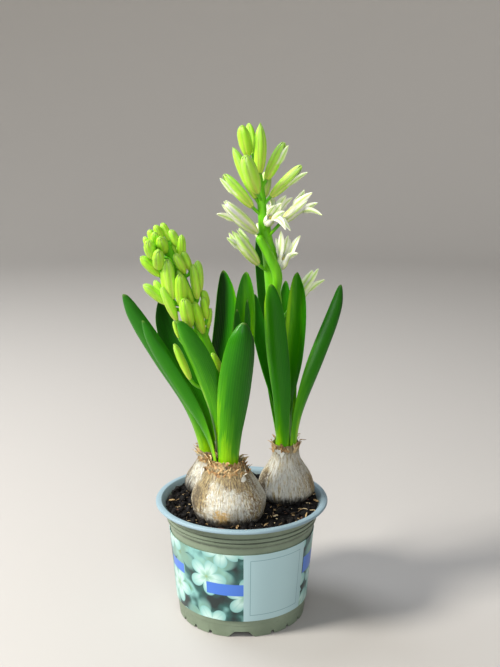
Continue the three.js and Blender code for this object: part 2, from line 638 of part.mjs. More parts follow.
function rightSpikeSolid() {
  const parts = [taperedRod(rightStem, stemSides, 18), taperedRod(branch, 6, 5)];
  for (const [height, foot, top, width, left, part, free] of rightFlorets) {
    const [base, tip] = [new THREE.Vector3(...foot), new THREE.Vector3(...top)];
    parts.push(stalkSolid(stemCentre(rightStem, height), base, tip));
    parts.push(floretBody(base, tip, width, left));
    free.forEach((end) => parts.push(petalSolid(base, tip, width, part, new THREE.Vector3(...end))));
  }
  return largestPiece(unite(parts));
}

function meshOf(name, solid, paint) {
  const result = solid.getMesh();
  const geometry = new THREE.BufferGeometry();
  geometry.setAttribute('position', new THREE.BufferAttribute(new Float32Array(result.vertProperties), 3));
  geometry.setIndex(new THREE.BufferAttribute(new Uint32Array(result.triVerts), 1));
  geometry.computeVertexNormals();
  const material = new THREE.MeshStandardMaterial({ ...paint, metalness: 0, flatShading: true });
  const mesh = new THREE.Mesh(geometry, material);
  mesh.name = name;
  return mesh;
}

const hyacinths = new THREE.Group();
hyacinths.name = 'potted_hyacinths';
hyacinths.position.x = -plantMiddle;
hyacinths.add(meshOf('pot', potSolid(), paints.pot));
hyacinths.add(meshOf('sleeve', sleeveSolid(), paints.sleeve));
hyacinths.add(meshOf('soil', soilSolid(), paints.soil));
Object.keys(bulbs).forEach((plant, i) => {
  hyacinths.add(meshOf(`bulb_${plant}`, bulbSolid(plant, 11 + i), paints.bulb));
});
leaves.forEach((leaf) => hyacinths.add(meshOf(leaf.name, leafSolid(leaf), paints.leaf)));
hyacinths.add(meshOf('spike_front', frontSpikeSolid(), paints.bud));
hyacinths.add(meshOf('spike_right', rightSpikeSolid(), paints.floret));

export default hyacinths;
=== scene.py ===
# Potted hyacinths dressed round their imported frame: pot, printed sleeve, soil, bulbs, leaves, spikes.
# Sizes are millimetres from the pot's axis at its foot, unless a comment says that they are metres.
import json
import math

import bpy
import numpy as np
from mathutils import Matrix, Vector, noise

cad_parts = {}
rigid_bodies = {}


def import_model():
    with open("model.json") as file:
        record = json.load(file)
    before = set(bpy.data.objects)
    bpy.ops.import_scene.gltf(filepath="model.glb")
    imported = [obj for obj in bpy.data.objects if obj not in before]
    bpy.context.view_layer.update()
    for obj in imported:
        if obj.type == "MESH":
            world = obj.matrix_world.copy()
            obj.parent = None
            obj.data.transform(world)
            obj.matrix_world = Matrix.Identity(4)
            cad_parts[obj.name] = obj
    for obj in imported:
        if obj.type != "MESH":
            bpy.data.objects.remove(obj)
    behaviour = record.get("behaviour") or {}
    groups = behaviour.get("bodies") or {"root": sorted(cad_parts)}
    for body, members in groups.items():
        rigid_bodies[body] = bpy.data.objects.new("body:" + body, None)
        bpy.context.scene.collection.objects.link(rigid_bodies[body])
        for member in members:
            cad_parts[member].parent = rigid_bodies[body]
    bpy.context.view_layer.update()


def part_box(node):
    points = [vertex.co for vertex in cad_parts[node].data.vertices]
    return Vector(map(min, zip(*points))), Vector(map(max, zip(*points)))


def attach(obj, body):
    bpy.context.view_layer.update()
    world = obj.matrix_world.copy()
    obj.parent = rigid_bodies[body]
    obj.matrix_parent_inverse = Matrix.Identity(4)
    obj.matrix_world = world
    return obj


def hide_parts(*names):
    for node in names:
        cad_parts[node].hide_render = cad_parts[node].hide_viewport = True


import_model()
potLow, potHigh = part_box("pot")
potAxis = np.array([(potLow.x + potHigh.x) / 2, (potLow.y + potHigh.y) / 2, 0.0])  # metres
millimetre = 0.001
up = np.array([0.0, 0.0, 1.0])


# Small sums used by every piece

def smooth(t):
    t = np.clip(t, 0, 1)
    return t * t * (3 - 2 * t)


def mix(a, b, t):
    return a + (b - a) * t


def unit(v):
    return v / np.maximum(np.linalg.norm(v, axis=-1, keepdims=True), 1e-9)


def heading(turn, rise=0.0):
    # direction from its turn round the pot and its rise above level, in degrees
    turn, rise = math.radians(turn), math.radians(rise)
    return np.array([math.cos(turn) * math.cos(rise), math.sin(turn) * math.cos(rise), math.sin(rise)])


def circle(count):
    # that many even angles round a full turn
    return np.linspace(0, 2 * math.pi, count, endpoint=False)


def hoop(radius, angle, height, middle=(0.0, 0.0)):
    # points of a level ring, or of a stack of them, round a middle
    x, y = radius * np.cos(angle) + middle[0], radius * np.sin(angle) + middle[1]
    return np.stack(np.broadcast_arrays(x, y, height), -1)


def bow(start, bend, end, t):
    # curve from the start to the end that is drawn towards the bend
    return start * (1 - t) ** 2 + 2 * bend * t * (1 - t) + end * t ** 2


def spline(points, t):
    # Catmull-Rom through the points, t from 0 to 1 over all of them
    points = np.array(points, float)
    p = np.vstack([2 * points[0] - points[1], points, 2 * points[-1] - points[-2]])
    along = np.clip(t, 0, 1) * (len(points) - 1)
    k = np.minimum(along.astype(int), len(points) - 2)
    u = (along - k)[:, None]
    a, b, c, d = p[k], p[k + 1], p[k + 2], p[k + 3]
    return 0.5 * (2 * b + (c - a) * u + (2 * a - 5 * b + 4 * c - d) * u ** 2
                  + (3 * b - a - 3 * c + d) * u ** 3)


def rough(points, size, seed=0.0):
    # smooth noise from about -1 to 1, with features of that size in millimetres
    shift = np.array([seed * 7.3, seed * 3.1, seed * 5.7])
    flat = points.reshape(-1, 3) / size + shift
    return np.array([noise.noise(Vector(p)) for p in flat]).reshape(points.shape[:-1])


# Meshes

def loft(rings, marks=None, paint=0, joined=False):
    # closed body through rings of points (rows x loop x 3), with values marked on its points; paint is
    # its material's number; joined means that the last ring meets the first, so there are no end caps
    rows, loop = rings.shape[:2]
    i, j = np.arange(rows if joined else rows - 1)[:, None], np.arange(loop)[None, :]
    above = (i + 1) % rows
    beside = (j + 1) % loop
    quads = np.stack([i * loop + j, i * loop + beside, above * loop + beside, above * loop + j], -1)
    quads = quads.reshape(-1, 4)
    points, tris = rings.reshape(-1, 3), np.zeros((0, 3), int)
    if not joined:
        k, last = np.arange(loop), (rows - 1) * loop
        nextOne, low, high = (k + 1) % loop, np.full(loop, rows * loop), np.full(loop, rows * loop + 1)
        tris = np.vstack([np.stack([low, nextOne, k], -1), np.stack([high, last + k, last + nextOne], -1)])
        points = np.vstack([points, rings[0].mean(0), rings[-1].mean(0)])
    volume = 0.0
    for corners in (quads[:, [0, 1, 2]], quads[:, [0, 2, 3]], tris):
        a, b, c = (points[corners[:, n]] for n in range(3))
        volume += np.einsum("ij,ij->i", a, np.cross(b, c)).sum()
    if volume < 0:
        quads, tris = quads[:, ::-1], tris[:, ::-1]
    held = {}
    for name, value in (marks or {}).items():
        value = np.asarray(value, float)
        shape = rings.shape if value.ndim == 3 or value.shape == (3,) else rings.shape[:2]
        if value.shape == (rows,):
            value = value[:, None]
        value = np.broadcast_to(value, shape)
        flat = value.reshape(-1, *shape[2:])
        held[name] = flat if joined else np.concatenate([flat, value[:1].mean(1), value[-1:].mean(1)])
    return {"points": points, "quads": quads, "tris": tris, "marks": held, "paint": paint}


def addPiece(name, parts, materials, node=None, bend=40):
    # one object from several bodies, in the frame, riding on the pot; edges that bend more stay sharp
    points, faces, paints, start = [], [], [], 0
    names = sorted({key for part in parts for key in part["marks"]})
    marks = {key: [] for key in names}
    for part in parts:
        points.append(part["points"])
        for group in (part["quads"], part["tris"]):
            faces += (group + start).tolist()
            paints += [part["paint"]] * len(group)
        count = len(part["points"])
        for key in names:
            width = next(p["marks"][key].shape[1:] for p in parts if key in p["marks"])
            marks[key].append(part["marks"].get(key, np.zeros((count, *width))))
        start += count
    mesh = bpy.data.meshes.new(name)
    mesh.from_pydata((np.vstack(points) * millimetre + potAxis).tolist(), [], faces)
    for key in names:
        values = np.concatenate(marks[key])
        kind = "FLOAT" if values.ndim == 1 else "FLOAT_VECTOR"
        layer = mesh.attributes.new(key, kind, "POINT")
        layer.data.foreach_set("value" if values.ndim == 1 else "vector", values.astype(np.float32).ravel())
    for material in materials:
        mesh.materials.append(material)
    mesh.polygons.foreach_set("material_index", paints)
    mesh.shade_smooth()
    mesh.set_sharp_from_angle(angle=math.radians(bend))
    piece = bpy.data.objects.new(name, mesh)
    bpy.context.scene.collection.objects.link(piece)
    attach(piece, "root")
    if node:
        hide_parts(node)
    print(f"{name}: {len(faces)} faces")
    return piece


def rod(path, radii, sides, paint=0, **marks):
    # round body along a path, with round ends
    tangent = unit(np.gradient(path, axis=0))
    side = np.cross(tangent[0], up if abs(tangent[0][2]) < 0.9 else np.array([0.0, 1.0, 0.0]))
    angle = circle(sides)
    radii = np.asarray(radii, float) * np.ones(len(path))
    rings = []
    for centre, forward, radius in zip(path, tangent, radii):
        side = unit(side - forward * side.dot(forward))
        other = np.cross(forward, side)
        rings.append(centre + radius * (np.outer(np.cos(angle), side) + np.outer(np.sin(angle), other)))
    low, high = [], []
    for reach, shrink in ((0.35, 0.94), (0.7, 0.7), (0.93, 0.34)):  # rings of a round end
        low.insert(0, path[0] + (rings[0] - path[0]) * shrink - tangent[0] * radii[0] * reach)
        high.append(path[-1] + (rings[-1] - path[-1]) * shrink + tangent[-1] * radii[-1] * reach)
    rings = np.array(low + rings + high)
    return loft(rings, {"along": np.linspace(0, 1, len(rings)), **marks}, paint)


def strap(path, normal, halves, thickness, cup, columns=7, edge=0.35, paint=0, **marks):
    # thin blade along a path, from its half width, thickness and cupping angle at each point
    tangent = unit(np.gradient(path, axis=0))
    normal = unit(normal - tangent * (normal * tangent).sum(1)[:, None])
    side = np.cross(tangent, normal)
    s = np.sin(np.linspace(-1, 1, columns) * math.pi / 2)
    halves = np.asarray(halves, float) * np.ones(len(path))
    cup = np.radians(np.asarray(cup, float) * np.ones(len(path)))
    radius = (halves / cup)[:, None]
    thick = (np.asarray(thickness, float) * np.ones(len(path)))[:, None]
    turn = cup[:, None] * s[None, :]
    bodies = []
    for sign in (-1, 1):
        deep = radius + sign * 0.5 * mix(thick, thick * edge, s[None, :] ** 2)
        bodies.append(path[:, None] + side[:, None] * (deep * np.sin(turn))[..., None]
                      + normal[:, None] * (radius - deep * np.cos(turn))[..., None])
    rings = np.concatenate([bodies[0], bodies[1][:, ::-1]], axis=1)
    across = np.tile(np.concatenate([s, s[::-1]]), (len(path), 1))
    return loft(rings, {"along": np.linspace(0, 1, len(path)), "across": across, **marks}, paint)


# Materials

def linear(shade):
    # sRGB hex to the linear colour that a shader takes
    parts = [int(shade[i:i + 2], 16) / 255 for i in (1, 3, 5)]
    return tuple(c / 12.92 if c <= 0.04045 else ((c + 0.055) / 1.055) ** 2.4 for c in parts) + (1.0,)


def addNode(tree, kind, settings, out=0):
    # adds a node and gives one of its outputs, or the node where out is None; a setting is a property,
    # a socket's number or name, or a ramp's stops, and is linked where its value is an output
    node = tree.nodes.new("ShaderNode" + kind)
    for key, value in settings.items():
        if key == "stops":
            ramp = node.color_ramp.elements
            while len(ramp) < len(value):
                ramp.new(0.5)
            for stop, (place, shade) in zip(ramp, value):
                stop.position, stop.color = place, linear(shade)
        elif isinstance(value, bpy.types.NodeSocket):
            tree.links.new(value, node.inputs[key])
        elif isinstance(key, str) and hasattr(node, key):
            setattr(node, key, value)
        else:
            node.inputs[key].default_value = linear(value) if isinstance(value, str) else value
    return node if out is None else node.outputs[out]


def newMaterial(name, settings):
    # a material with its main shader, whose constants are set on the shader's own sockets
    material = bpy.data.materials.new(name)
    material.use_nodes = True
    shader = material.node_tree.nodes["Principled BSDF"]
    for key, value in settings.items():
        shader.inputs[key].default_value = value
    return material, material.node_tree, shader


def feed(tree, shader, outputs):
    # links each output to the main shader's socket of that name
    for key, value in outputs.items():
        tree.links.new(value, shader.inputs[key])


# Pot: polypropylene, injection moulded
potSettings = {
    "segments": 720,
    "outline": [  # radius and height, from the floor's underside out, up and back down inside
        [0.2, 4.2], [20, 4.2], [42.2, 4.2], [42.6, 4.0], [42.9, 3.7], [43.1, 0.3], [43.4, 0.0],
        [44.2, 0.0], [44.5, 0.3], [44.85, 4.0], [45.2, 8.2], [45.25, 8.6], [45.45, 9.0], [45.5, 9.6],
        [50.4, 66.4], [50.45, 67.3], [50.35, 68.0], [50.5, 68.5], [51.2, 69.2], [52.2, 69.9],
        [52.5, 70.6], [52.6, 71.5], [51.9, 71.8], [51.9, 72.2], [52.8, 72.6], [52.9, 74.6], [52.2, 74.9],
        [52.2, 75.3], [53.1, 75.7], [53.25, 77.6], [53.5, 78.8], [54.3, 80.0], [55.8, 80.9], [57.6, 81.4],
        [58.9, 81.55], [59.6, 81.8], [59.95, 82.3], [59.95, 83.0], [59.55, 83.65], [58.9, 83.95],
        [57.2, 84.0], [56.2, 83.9], [55.6, 83.4], [55.2, 82.6], [54.4, 81.6], [50.6, 78.0], [50.1, 77.3],
        [49.1, 66.5], [43.9, 6.2], [43.5, 5.7], [42.8, 5.6], [20, 5.6], [0.2, 5.6],
    ],
    "wideNotch": {"width": 18.5, "top": 8.8, "height": 4.4, "count": 4},
    "smallNotch": {"width": 3.2, "top": 1.6, "height": 2.6, "turns": [28.5, 45, 61.5]},
    "foot": {"radius": 44.5, "inner": 42.3, "top": 4.1},  # the notches cut only the outline's points there
    "drainHole": {"radius": 4, "ring": 26, "count": 6, "turn": 30, "middle": 5, "depth": 8},
    "grooves": [67.8, 72.0, 75.2, 81.0],  # heights where painted shade darkens the outside, in bands under the ledges
    "lip": [79.5, 81.2],  # the rim's painted sky reflection, paler and bluer, sets in between these heights
    "flowMark": 26, "dustSpeck": 2.38, "grain": 1.11,  # pattern sizes; real grain is too fine to show
    # rim is the colour of a painted sky reflection; groove that of painted shade, with soil dirt inside the
    # wall
    "body": "#6E7C67", "bodyPale": "#7F8E79", "rim": "#879FA9", "stain": "#4E5346", "groove": "#3C4036",
}


def potMaterial():
    # satin polypropylene: soft broad gloss, faint flow marks and dust, a rim painted paler and bluer as a
    # painted reflection of sky light, painted shade in the grooves, and soil dirt with painted shade inside
    s = potSettings
    material, tree, shader = newMaterial("moulded polypropylene", {"IOR": 1.49, "Specular IOR Level": 0.45})
    place = addNode(tree, "NewGeometry", {}, "Position")
    height = addNode(tree, "SeparateXYZ", {0: place}, "Z")
    flow, dust, grain = (
        addNode(tree, "TexNoise", {"Vector": place, "Detail": detail, "Scale": 1 / (s[kind] * millimetre)},
                "Fac") for kind, detail in (("flowMark", 3.0), ("dustSpeck", 4.0), ("grain", 2.0)))
    base = addNode(tree, "ValToRGB", {0: flow, "stops": [(0.35, s["body"]), (0.7, s["bodyPale"])]})
    specks = addNode(tree, "MapRange", {0: dust, 1: 0.62, 2: 0.78, 4: 0.35})
    # painted reflection: above these heights the rim is painted paler and bluer, as sky light shows it
    lip = addNode(tree, "MapRange", {"interpolation_type": "SMOOTHSTEP", 0: height,
                                     1: s["lip"][0] * millimetre, 2: s["lip"][1] * millimetre})
    soiled = addNode(tree, "Attribute", {"attribute_name": "soiled"}, "Fac")  # painted shade in the grooves, and soil dirt with painted shade inside
    patchy = addNode(tree, "MapRange", {0: dust, 1: 0.3, 2: 0.6, 3: 0.6})
    soiled = addNode(tree, "Math", {"operation": "MULTIPLY", 0: soiled, 1: patchy})
    for cover, shade in ((specks, "stain"), (lip, "rim"), (soiled, "groove")):
        base = addNode(tree, "Mix", {"data_type": "RGBA", 0: cover, 6: base, 7: s[shade]}, 2)
    gloss = addNode(tree, "MapRange", {0: dust, 1: 0.3, 2: 0.7, 3: 0.38, 4: 0.52})
    bump = addNode(tree, "Bump", {"Distance": 0.0001, "Strength": 0.25, "Height": grain})
    feed(tree, shader, {"Base Color": base, "Roughness": gloss, "Normal": bump})
    return material


def notchHeight(turns):
    # how far the foot's lower edge is lifted at each turn, in degrees
    s = potSettings
    lift = np.zeros_like(turns)
    quarter = 360 / s["wideNotch"]["count"]
    around = (turns + quarter / 2) % quarter - quarter / 2
    perDegree = math.radians(1) * s["foot"]["radius"]
    for turn, cut in [(0.0, s["wideNotch"])] + [(turn, s["smallNotch"]) for turn in s["smallNotch"]["turns"]]:
        for centre in (turn, turn - quarter):
            away = np.abs(around - centre) * perDegree
            slope = 2 * cut["height"] / (cut["width"] - cut["top"])
            lift = np.maximum(lift, np.clip((cut["width"] / 2 - away) * slope, 0, cut["height"]))
    return lift


def makePot():
    s = potSettings
    outline = np.array(s["outline"])
    turns = np.linspace(0, 360, s["segments"], endpoint=False)
    radius, height = outline[:, :1], outline[:, 1:]
    foot = (height < s["foot"]["top"]) & (radius > s["foot"]["inner"])
    heights = np.where(foot, np.maximum(height, notchHeight(turns)[None, :]), height)
    angle = np.radians(turns)
    rings = hoop(radius, angle, heights)
    inward = np.arange(len(outline)) > int(np.argmax(outline[:, 1]))  # past the rim's top
    # painted shade: darker inside below the rim, with soil dirt there, and in bands at the grooves
    soiled = inward * smooth((83 - outline[:, 1]) / 3)
    for groove in s["grooves"]:
        soiled = np.maximum(soiled, ~inward * 0.75 * smooth(1.4 - np.abs(outline[:, 1] - groove) / 0.5))
    pot = addPiece("pot_shell", [loft(rings, {"soiled": soiled})], [potMaterial()], "pot", bend=32)
    hole = s["drainHole"]
    group = bpy.data.collections.new("drain_cutters")
    for i in range(hole["count"]):
        turn = math.radians(hole["turn"] + i * 360 / hole["count"])
        centre = hoop(hole["ring"], turn, hole["middle"])
        bpy.ops.mesh.primitive_cylinder_add(
            radius=hole["radius"] * millimetre, depth=hole["depth"] * millimetre, vertices=40,
            location=centre * millimetre + potAxis)
        cutter = bpy.context.object
        for holder in list(cutter.users_collection):
            holder.objects.unlink(cutter)
        group.objects.link(cutter)
    cut = pot.modifiers.new("drain_holes", "BOOLEAN")
    cut.operation, cut.solver = "DIFFERENCE", "MANIFOLD"
    cut.operand_type, cut.collection = "COLLECTION", group
    bpy.context.view_layer.update()
    finished = bpy.data.meshes.new_from_object(pot.evaluated_get(bpy.context.evaluated_depsgraph_get()))
    pot.modifiers.clear()
    pot.data = finished
    for cutter in list(group.objects):
        bpy.data.objects.remove(cutter)
    bpy.data.collections.remove(group)


# Sleeve: printed polypropylene film, a closed band round the wall
sleeveSettings = {
    "bottom": 13, "top": 63, "thickness": 0.35, "gap": 0.35, "wall": [[45.5, 9.6], [50.4, 66.4]],
    "segments": 360, "rows": 26, "radius": 48,  # the print's distances are true at this radius
    "blossom": 29.0, "petalReach": 14.5, "cloud": 18.2, "crease": 25,  # distances in the print and film
    "pale": "#BCDCD4", "shade": "#8FBCA8", "aqua": "#7FB6B2", "teal": "#1F5551", "deep": "#0B1F1F",
    "green": "#4F7F4C", "eye": "#8CA46C", "blue": "#3F72CE", "paper": "#A6C6CA", "rule": "#7598A0",
    "panel": [1.5, 48.0, 13.0, 63.0],  # left, right, low and high, along the wrap from the front's middle
    "bars": [[-24.0, 1.5, 32.5, 41.0], [49.0, 70.0, 38.0, 50.0], [-62.0, -44.0, 40.0, 47.0]],
    "ruleInset": 4.5, "ruleHalf": 0.2,
    "ripples": [[0.1, 3, 0], [0.06, 7, 1]],  # height, count round the pot and start of the film's waves
}


def insideBox(tree, across, high, box):
    # how deep a place on the wrap lies inside a box, in millimetres, below 0 outside it
    depth = None
    for value, low, top in ((across, box[0], box[1]), (high, box[2], box[3])):
        off = addNode(tree, "Math", {"operation": "SUBTRACT", 0: value, 1: (low + top) / 2})
        off = addNode(tree, "Math", {"operation": "ABSOLUTE", 0: off})
        left = addNode(tree, "Math", {"operation": "SUBTRACT", 0: (top - low) / 2, 1: off})
        depth = left if depth is None else addNode(tree, "Math", {"operation": "MINIMUM", 0: depth, 1: left})
    return depth


def sleeveMaterial():
    # printed film: soft-edged blossoms over a blurred ground, flat blue bars and a bare panel under gloss
    s = sleeveSettings
    material, tree, shader = newMaterial("printed film", {
        "IOR": 1.5, "Coat Weight": 0.35, "Coat Roughness": 0.18, "Roughness": 0.42})
    place = addNode(tree, "Attribute", {"attribute_name": "wrap"}, "Vector")
    parts = addNode(tree, "SeparateXYZ", {0: place}, None).outputs
    clouds = addNode(tree, "TexNoise", {"Vector": place, "Scale": 1 / s["cloud"], "Detail": 2.0}, "Fac")
    colour = addNode(tree, "ValToRGB", {0: clouds, "stops": [
        (0.4, s["deep"]), (0.5, s["teal"]), (0.6, s["aqua"]), (0.72, s["green"])]})
    layers = [  # size against the settings, shade, shift of the pattern, where the edge begins, strength
        (1.3, s["shade"], 31.0, 0.7, 0.6), (1.0, s["pale"], 0.0, 0.93, 1.0)]
    for size, shade, shift, edge, amount in layers:
        moved = addNode(tree, "VectorMath", {"operation": "ADD", 0: place, 1: (shift, shift, 0.0)})
        cells = addNode(tree, "TexVoronoi", {"voronoi_dimensions": "2D", "Vector": moved, "Randomness": 0.62,
                                             "Scale": 1 / (s["blossom"] * size)}, None).outputs
        away = addNode(tree, "VectorMath", {"operation": "SUBTRACT", 0: moved, 1: cells["Position"]})
        offset = addNode(tree, "SeparateXYZ", {0: away}, None).outputs
        length = addNode(tree, "VectorMath", {"operation": "LENGTH", 0: away}, "Value")
        angle = addNode(tree, "Math", {"operation": "ARCTAN2", 0: offset["Y"], 1: offset["X"]})
        phase = addNode(tree, "SeparateColor", {0: cells["Color"]})
        phase = addNode(tree, "Math", {"operation": "MULTIPLY", 0: phase, 1: 2 * math.pi})
        wave = addNode(tree, "Math", {"operation": "MULTIPLY_ADD", 0: angle, 1: 2.5, 2: phase})  # five petals
        for operation in ("SINE", "ABSOLUTE"):
            wave = addNode(tree, "Math", {"operation": operation, 0: wave})
        petal = addNode(tree, "Math", {"operation": "POWER", 0: wave, 1: 0.6})
        petal = addNode(tree, "Math", {"operation": "MULTIPLY_ADD", 0: petal, 1: 0.62, 2: 0.38})
        petal = addNode(tree, "Math", {"operation": "MULTIPLY", 0: petal, 1: s["petalReach"] * size})
        share = addNode(tree, "Math", {"operation": "DIVIDE", 0: length, 1: petal})
        inside = addNode(tree, "MapRange", {"interpolation_type": "SMOOTHSTEP", 0: share, 1: 1.0, 2: edge,
                                            4: amount})
        vein = addNode(tree, "MapRange", {0: wave, 1: 0.985, 4: 0.35})
        face = addNode(tree, "ValToRGB", {0: share, "stops": [
            (0.0, s["eye"]), (0.16, s["shade"]), (0.45, shade), (0.95, s["aqua"])]})
        face = addNode(tree, "Mix", {"data_type": "RGBA", 0: vein, 6: face, 7: s["aqua"]}, 2)
        colour = addNode(tree, "Mix", {"data_type": "RGBA", 0: inside, 6: colour, 7: face}, 2)
    for box, shade in [(bar, s["blue"]) for bar in s["bars"]] + [(s["panel"], s["paper"])]:
        depth = insideBox(tree, parts["X"], parts["Y"], box)
        within = addNode(tree, "Math", {"operation": "GREATER_THAN", 0: depth, 1: 0.0})
        colour = addNode(tree, "Mix", {"data_type": "RGBA", 0: within, 6: colour, 7: shade}, 2)
    line = addNode(tree, "Math", {"operation": "SUBTRACT", 0: depth, 1: s["ruleInset"]})
    line = addNode(tree, "Math", {"operation": "ABSOLUTE", 0: line})
    line = addNode(tree, "Math", {"operation": "LESS_THAN", 0: line, 1: s["ruleHalf"]})
    colour = addNode(tree, "Mix", {"data_type": "RGBA", 0: line, 6: colour, 7: s["rule"]}, 2)
    crease = addNode(tree, "TexNoise", {"Vector": place, "Scale": 1 / s["crease"], "Detail": 2.0}, "Fac")
    bump = addNode(tree, "Bump", {"Distance": 0.0015, "Strength": 0.3, "Height": crease})
    feed(tree, shader, {"Base Color": colour, "Normal": bump})
    return material


def makeSleeve():
    s = sleeveSettings
    (lowRadius, lowHeight), (highRadius, highHeight) = s["wall"]
    turns = np.linspace(-180, 180, s["segments"], endpoint=False)
    angle = np.radians(turns - 90)  # the front is at -90 degrees, and the print meets itself at the back
    heights = np.linspace(s["bottom"], s["top"], s["rows"])
    inner = mix(lowRadius, highRadius, (heights - lowHeight) / (highHeight - lowHeight)) + s["gap"]
    radius = np.concatenate([inner, inner[::-1] + s["thickness"]])
    tall = np.tile(np.concatenate([heights, heights[::-1]]), (len(angle), 1))
    ripple = np.abs(sum(high * np.sin(angle * waves + start) for high, waves, start in s["ripples"]))
    rings = hoop(radius + ripple[:, None], angle[:, None], tall)
    along = np.radians(turns)[:, None] * s["radius"]
    wrap = np.stack(np.broadcast_arrays(along, tall, 0.0), -1)
    body = loft(rings, {"wrap": wrap}, joined=True)
    addPiece("printed_sleeve", [body], [sleeveMaterial()], "sleeve", bend=50)


# The plants' places and outlines, shared by several pieces
bulbs = {  # middle of the body and of the neck, floor and radius of the neck's socket, the twist of the
    # ribs, and the outline as radius and height
    "front": {"body": [-8.4, -18], "neck": [-9.6, -18], "floor": 110, "socket": 8.8, "twist": 0.2,
              "outline": [[9, 66], [15.5, 69], [19, 73.5], [23.4, 79.5], [25.2, 87.5], [24.4, 93.5],
                          [21, 100.5], [17.8, 106], [14.6, 111], [11.4, 114], [10.8, 117]]},
    "left": {"body": [-22, 25.6], "neck": [-22, 25.4], "floor": 104.5, "socket": 8.5, "twist": 1.1,
             "outline": [[7, 60.5], [11.5, 65], [13.2, 74], [14.2, 77], [16.6, 79.5], [19.7, 83.5],
                         [18.5, 89], [16, 93.2], [12.8, 98], [10.2, 102.5], [9.6, 106], [9.5, 111]]},
    "right": {"body": [31.7, 11.1], "neck": [31, 15], "floor": 112, "socket": 8.4, "twist": 2.3,
              "outline": [[7, 62], [11.5, 67], [13.4, 74], [14.2, 77.5], [17.6, 80.5], [20, 84.5],
                          [19.7, 89], [18, 94.5], [15.6, 99], [12.8, 103.5], [10, 109], [9.4, 118.5]]},
}


# Leaves
leafSettings = {
    "stations": 72, "columns": 13, "thick": 1.35, "thin": 0.9, "edge": 0.35, "tipArc": 42, "hood": 16,
    "rolled": {"leaf_left_tall": 60, "leaf_right_side": 50, "leaf_front_broad": 50,
               "leaf_right_front": 50},  # as tipArc, half of the blade's arc in degrees, on these leaves
    "opened": 0.55, "tapers": 0.5, "hooded": 0.86,  # shares of the length where the shape changes
    "sway": 0.5, "tipLift": 0.9,  # how far the blade wanders sideways, and its tip towards the hollow
    "tipHalf": 0.35, "seat": 0.3, "patch": 4.55, "veins": 15,  # real veins are closer, too fine to show
    "paintedLeafShade": {  # painted shade and painted light: how much deeper the green is painted, or paler below 0, at the foot, the tip and towards one edge
        "leaf_front_broad": [0.22, 0.0, -0.4], "leaf_front_left": [0.1, -0.5, -0.24],
        "leaf_front_back": [0.0, -0.62, -0.1], "leaf_left_tall": [0.35, 0.4, -1.0],
        "leaf_right_front": [0.8, -0.55, -0.45], "leaf_right_side": [0.45, -0.66, 0.3],
        "leaf_right_back": [-0.1, -0.4, 0.0], "leaf_front_side": [0.1, -0.1, -0.2],
        "leaf_right_outer": [0.25, -0.15, -0.3], "leaf_left_back": [0.1, 0.1, 0.0],
        "leaf_left_outer": [0.25, -0.05, -0.2], "leaf_right_dark": [0.2, 0.1, 0.0]},
    "leaves": [  # name and plant, radius and turn of its foot, half of the turn it covers there, width,
        # turn that its hollow faces, centre line at one and two thirds of its length, and tip
        ["leaf_front_broad", "front", 7.8, -80, 54, 24.5, 100, [-6.1, -32.5, 150], [-1.7, -40, 185],
         [2.3, -41, 217.5]],
        ["leaf_front_side", "front", 7.8, 192, 26, 12, 60, [-28, -25, 148], [-47.4, -27, 182],
         [-63.9, -29, 216]],
        ["leaf_front_left", "front", 5.7, 232, 44, 17, 75, [-16.6, -27, 154], [-25, -36.5, 188],
         [-39.7, -44, 219]],
        ["leaf_front_back", "front", 7.8, 62, 34, 17, 262, [-2.2, -8.8, 156], [1.6, -7, 201],
         [3.5, -7, 244.5]],
        ["leaf_front_inner", "front", 5.7, -4, 30, 8, 225, [1.1, -18.8, 151.5], [4.2, -18, 190.5],
         [4.8, -18, 228]],
        ["leaf_front_slim", "front", 5.7, 98, 34, 8, 270, [-3.6, -13, 150], [-1.8, -14, 186],
         [-2.7, -15, 221]],
        ["leaf_left_outer", "left", 7.5, 225, 58, 16, 70, [-39.9, 8, 153], [-60.3, 2, 192],
         [-79.1, -2, 228]],
        ["leaf_left_back", "left", 7.5, 117, 46, 19, 300, [-32.9, 30, 143.5], [-48.5, 36, 179],
         [-58.8, 40, 216]],
        ["leaf_left_tall", "left", 7.5, 15, 40, 20.5, 264, [-16.1, 22, 151], [-11, 24, 195.5],
         [-12.6, 26, 240]],
        ["leaf_right_front", "right", 7.4, -112, 36, 17, 80, [26.4, 2, 159.5], [23, -1, 199],
         [19.4, -3, 235]],
        ["leaf_right_outer", "right", 7.4, -38, 30, 12.5, 105, [44.5, 8, 159.5], [59, 18, 195.5],
         [69.6, 30, 229]],
        ["leaf_right_side", "right", 5.3, 18, 38, 18, 245, [34.7, 22.5, 157], [38.2, 20, 198.5],
         [38.4, 15, 240.5]],
        ["leaf_right_dark", "right", 7.4, 172, 26, 12, 290, [22.7, 21, 151.5], [13.5, 23, 191],
         [8.6, 24, 223.5]],
        ["leaf_right_back", "right", 7.4, 56, 26, 12, 265, [34.4, 31, 155.5], [31.8, 36, 193.5],
         [31.1, 40, 230]],
        ["leaf_right_tall", "right", 7.4, 112, 22, 13, 280, [22.3, 36, 159.5], [17.3, 42, 212],
         [11, 44, 262.5]],
    ],
    "base": "#86C200", "low": "#479400", "middle": "#277400", "high": "#1B6604", "margin": "#4F9416",
    "deep": "#082A04", "tip": "#86A04A", "vein": "#3F8A10",
}


